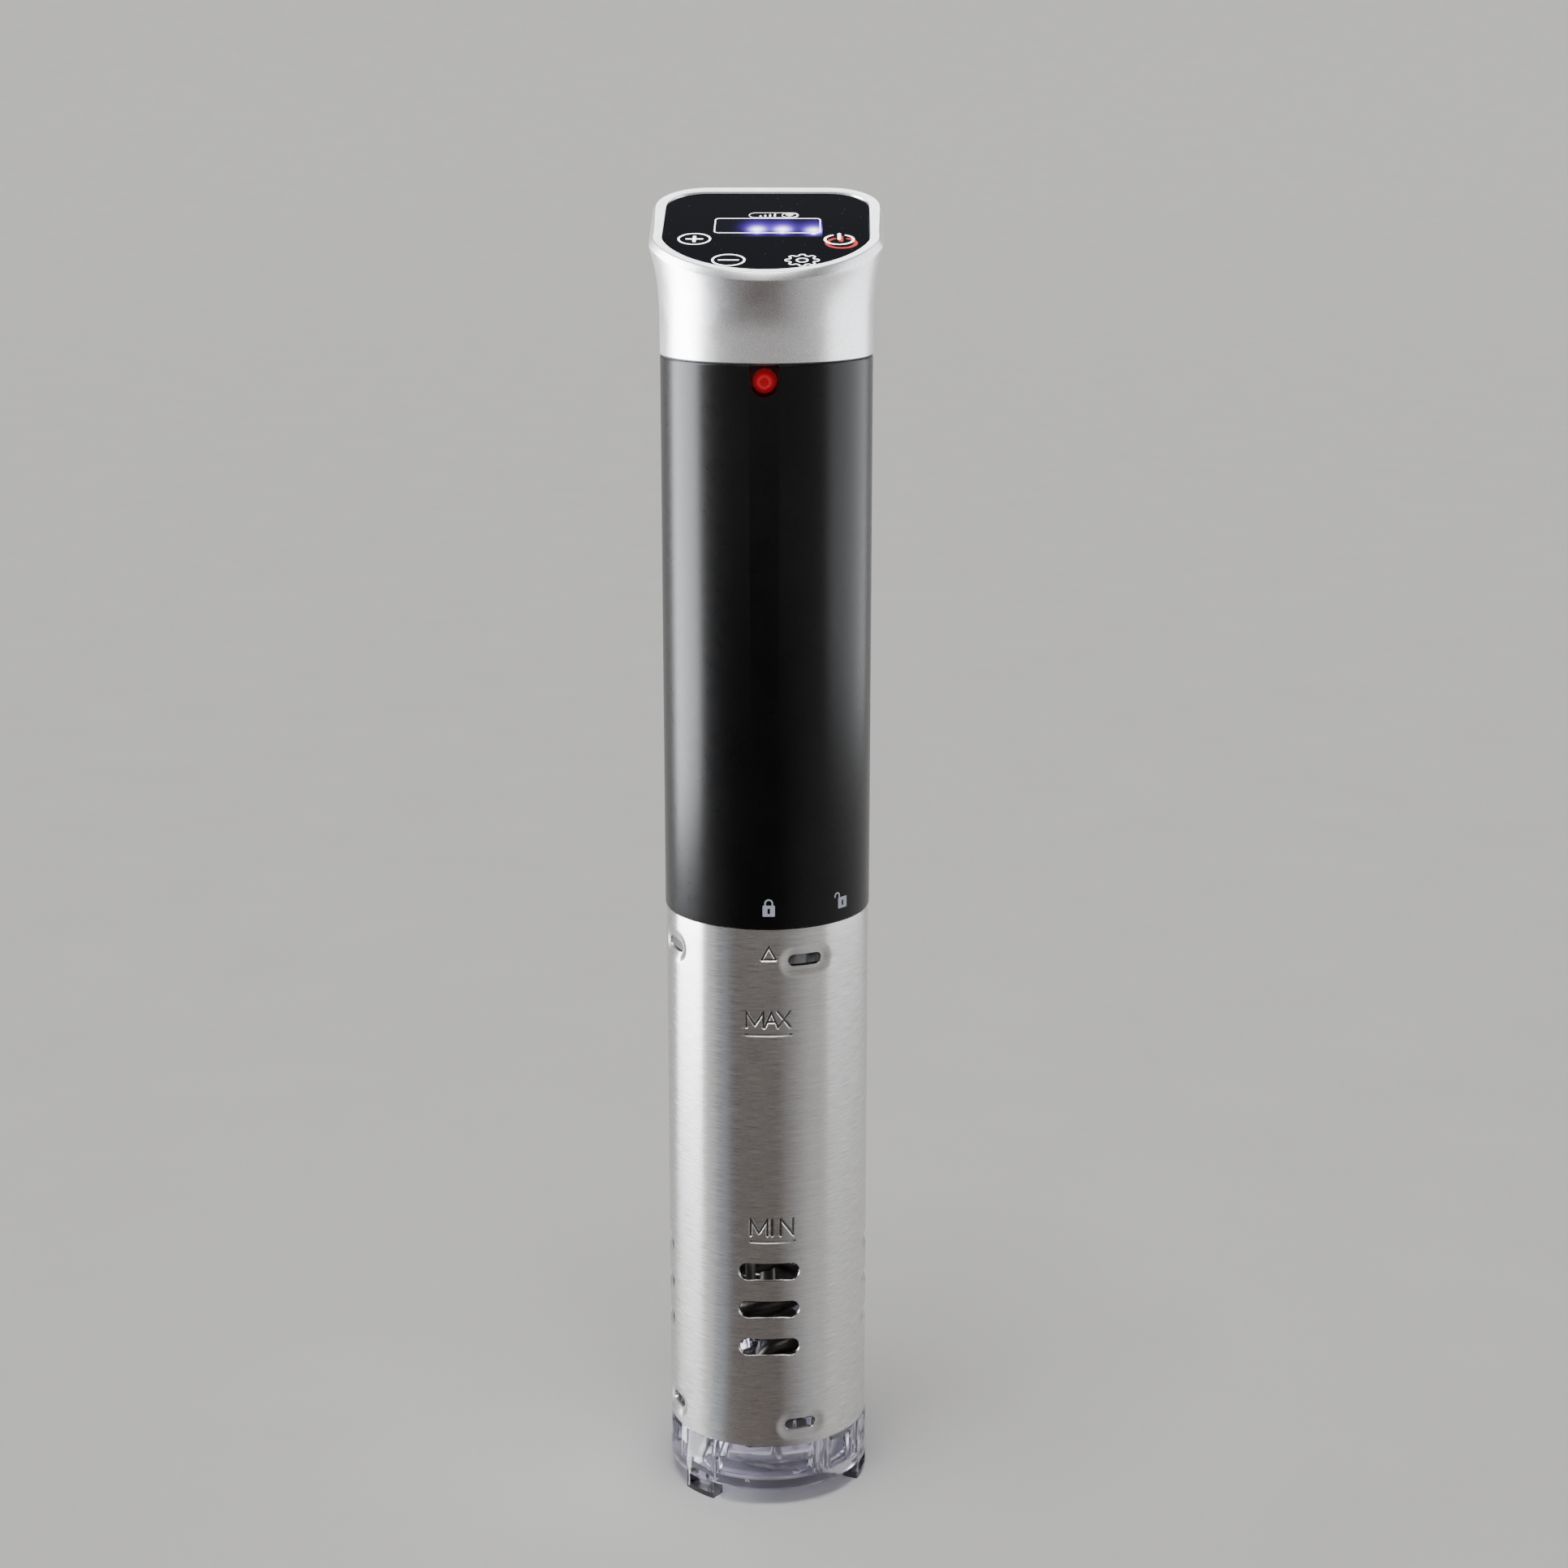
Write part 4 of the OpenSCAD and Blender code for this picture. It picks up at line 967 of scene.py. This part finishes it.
# ---- Floor and light ----
def make_floor():
    """A pale floor that bends up gently far behind the object."""
    s = Shader("studio_floor", (0.66, 0.66, 0.655), 0.7, IOR=1.01)
    s.colour(s.ramp(s.noise(60.0, 3.0), 0.3, 0.7), (0.66, 0.66, 0.655), (0.64, 0.64, 0.635))
    bend = []
    for t in range(0, 88, 4):
        a = math.radians(t)
        bend.append((FLOOR_FLAT_R + FLOOR_BEND_R * math.sin(a), FLOOR_BEND_R * (1 - math.cos(a))))
    verts, faces = skin([[around(r, angle, z) for angle in range(0, 360, 5)] for r, z in bend])
    faces.append(tuple(range(72)))
    piece("studio_floor", (verts, faces), s.material, None)


def make_card():
    """A dark card on the floor in front, out of the picture, for the metal to mirror.

    It is brown in the middle, blue grey at the left and fades out at the right.
    """
    s = Shader("studio_card", (0.16, 0.12, 0.105), 0.8)
    x, y, _ = s.node("ShaderNodeSeparateXYZ", Vector=s.place).outputs
    turn = s.math("ARCTAN2", x, s.math("MULTIPLY", y, -1.0))
    brown = s.mix(s.ramp(s.noise(60.0, 3.0), 0.3, 0.7), (0.07, 0.047, 0.038), (0.055, 0.038, 0.032))
    left = s.mix(s.ramp(turn, -0.82, -0.66, 1.0, 0.0), brown, (0.22, 0.25, 0.30))
    s.feed(s.bsdf.inputs["Base Color"], s.mix(s.ramp(turn, 0.22, 0.85), left, (0.55, 0.56, 0.58)))
    corners = [(-58, -35), (46, -35), (1900, -1700), (-2700, -1700)]
    card = piece("studio_card", skin([[(u, v, z) for u, v in corners] for z in (1, 3)], caps=True),
                 s.material, None)
    card.visible_camera = False
    card.visible_shadow = False
    card.visible_diffuse = False
    card.visible_transmission = False


def add_lamp(name, data, place, towards, on_floor=True):
    """A lamp with its back to towards, unseen by the camera; off the floor it makes only highlights."""
    lamp = bpy.data.objects.new(name, data)
    lamp.location = place
    lamp.rotation_euler = towards.to_track_quat("Z", "Y").to_euler()
    lamp.visible_camera = False
    lamp.visible_diffuse = on_floor
    bpy.context.scene.collection.objects.link(lamp)


def direction(azimuth, height):
    """Unit vector to an azimuth (from the front, towards +X) and a height, in degrees."""
    a, h = math.radians(azimuth), math.radians(height)
    return Vector((math.sin(a) * math.cos(h), -math.cos(a) * math.cos(h), math.sin(h)))


def sun(name, azimuth, height, spread_deg, strength, colour):
    data = bpy.data.lights.new(name, "SUN")
    data.energy = strength
    data.angle = math.radians(spread_deg)
    data.color = colour
    add_lamp(name, data, (0, 0, 3), direction(azimuth, height))


def bank(name, azimuth, tilt, distance, middle_z, width, tall, radiance, colour):
    """A soft panel facing the axis from a distance, for highlights only; sizes in metres."""
    data = bpy.data.lights.new(name, "AREA")
    data.shape = "RECTANGLE"
    data.size = width
    data.size_y = tall
    data.energy = 4 * width * tall * radiance
    data.color = colour
    towards = direction(azimuth, tilt)
    place = direction(azimuth, 0) * distance + Vector((0, 0, middle_z))
    add_lamp(name, data, place, towards, False)


def make_light():
    bank("left_strip", -97, 0, 0.6, 0.5, 0.45, 1.1, 17.0, (0.95, 0.97, 1.0))
    bank("right_bank", 104, 0, 0.8, 0.62, 1.05, 1.2, 2.5, (0.93, 0.96, 1.0))
    bank("back_box", 180, 37, 1.0, 1.12, 0.9, 0.5, 4.5, (0.97, 0.98, 1.0))
    sun("overhead", -8, 78, 34, 2.6, (1.0, 0.99, 0.98))
    world = bpy.data.worlds.new("studio")
    world.use_nodes = True
    world.node_tree.nodes["Background"].inputs["Color"].default_value = (0.86, 0.80, 0.78, 1)
    world.node_tree.nodes["Background"].inputs["Strength"].default_value = 0.13
    bpy.context.scene.world = world


make_floor()
make_card()
make_light()
bpy.context.view_layer.update()
